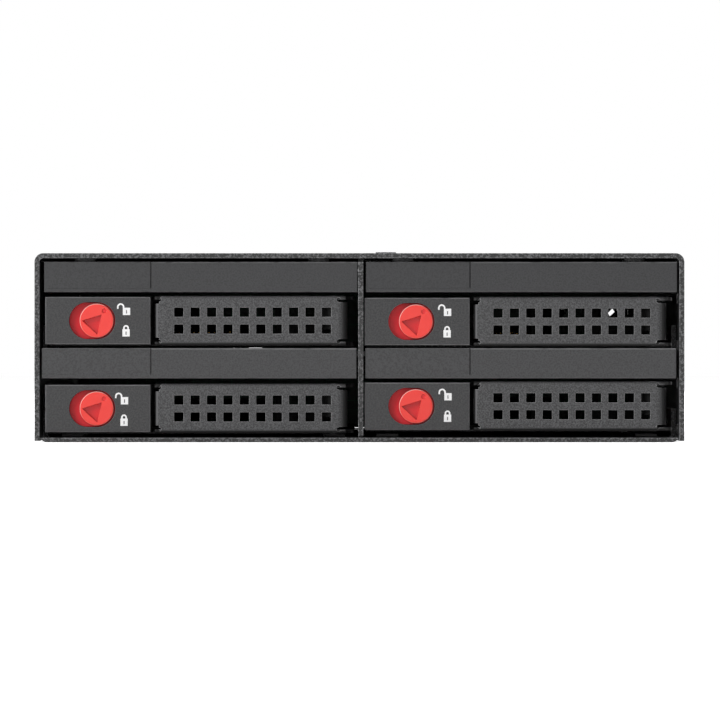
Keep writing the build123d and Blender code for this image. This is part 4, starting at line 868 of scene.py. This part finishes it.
ground = bmesh.new()
lowered = Matrix.Translation((0, 0, -FLOOR_DROP))
bmesh.ops.create_grid(ground, x_segments=8, y_segments=8, size=FLOOR_SPAN / 2, matrix=lowered)
floor_finish = bpy.data.materials.new("pale_floor")
floor_finish.use_nodes = True
tree = floor_finish.node_tree
tree.nodes.remove(tree.nodes["Principled BSDF"])
start = Shade(tree)
seen = start.node("ShaderNodeLightPath", {}, {}, "Is Camera Ray")
mirrored = start.node("ShaderNodeLightPath", {}, {}, "Is Glossy Ray")
matt = start.node("ShaderNodeBsdfDiffuse", {}, {"Color": FLOOR_COLOUR})
inputs = {"Color": (1.0, 1.0, 1.0), "Strength": FLOOR_LIFT * (seen + mirrored)}
lift = start.node("ShaderNodeEmission", {}, inputs)
lit = start.node("ShaderNodeAddShader", {}, {0: matt, 1: lift})
tree.links.new(lit.socket, tree.nodes["Material Output"].inputs["Surface"])
floor_mesh = finished("floor", ground)
floor_mesh.materials.append(floor_finish)
floor = bpy.data.objects.new("floor", floor_mesh)
bpy.context.scene.collection.objects.link(floor)

world = bpy.data.worlds.new("studio")
bpy.context.scene.world = world
world.use_nodes = True
start = Shade(world.node_tree)
seen = start.node("ShaderNodeLightPath", {}, {}, "Is Camera Ray")
mirrored = start.node("ShaderNodeLightPath", {}, {}, "Is Glossy Ray")
through = start.node("ShaderNodeLightPath", {}, {}, "Is Transmission Ray")
white = (seen + mirrored + through).limit(0.0, 1.0)
strength = AMBIENT + (1 - AMBIENT) * white
world.node_tree.nodes["Background"].inputs["Color"].default_value = (1, 1, 1, 1)
world.node_tree.links.new(strength.socket, world.node_tree.nodes["Background"].inputs["Strength"])

SOFTBOXES = {
    "key_softbox": ((-0.95, -1.05, 0.55), 0.6, 11.2),
    "fill_softbox": ((-0.1, -1.35, 0.3), 0.7, 1.6),
    "top_softbox": ((-0.05, -0.1, 1.3), 1.0, 7.0),
    "rear_softbox": ((0.4, 1.3, 0.7), 0.9, 8.0),
    "left_softbox": ((-1.25, 0.35, 0.6), 0.8, 5.0),
    "right_softbox": ((1.25, 0.35, 0.6), 0.8, 5.0),
}
AIM = Vector((0, 0, 0.02))

for name, (place, size, power) in SOFTBOXES.items():
    lamp = bpy.data.lights.new(name, "AREA")
    lamp.shape = "SQUARE"
    lamp.size = size
    lamp.energy = power
    softbox = bpy.data.objects.new(name, lamp)
    softbox.location = place
    softbox.rotation_euler = (AIM - Vector(place)).to_track_quat("-Z", "Y").to_euler()
    bpy.context.scene.collection.objects.link(softbox)

FOCAL_LENGTH = 222.6
CAMERA_PLACE = (0.13 * MM, -1.075, 18.5 * MM)

lens = bpy.data.cameras.new("camera")
lens.sensor_width = 36.0
lens.lens = FOCAL_LENGTH
camera = bpy.data.objects.new("camera", lens)
camera.location = CAMERA_PLACE
camera.rotation_euler = (math.pi / 2, 0, 0)
bpy.context.scene.collection.objects.link(camera)
bpy.context.scene.camera = camera
bpy.context.scene.view_settings.view_transform = "Standard"
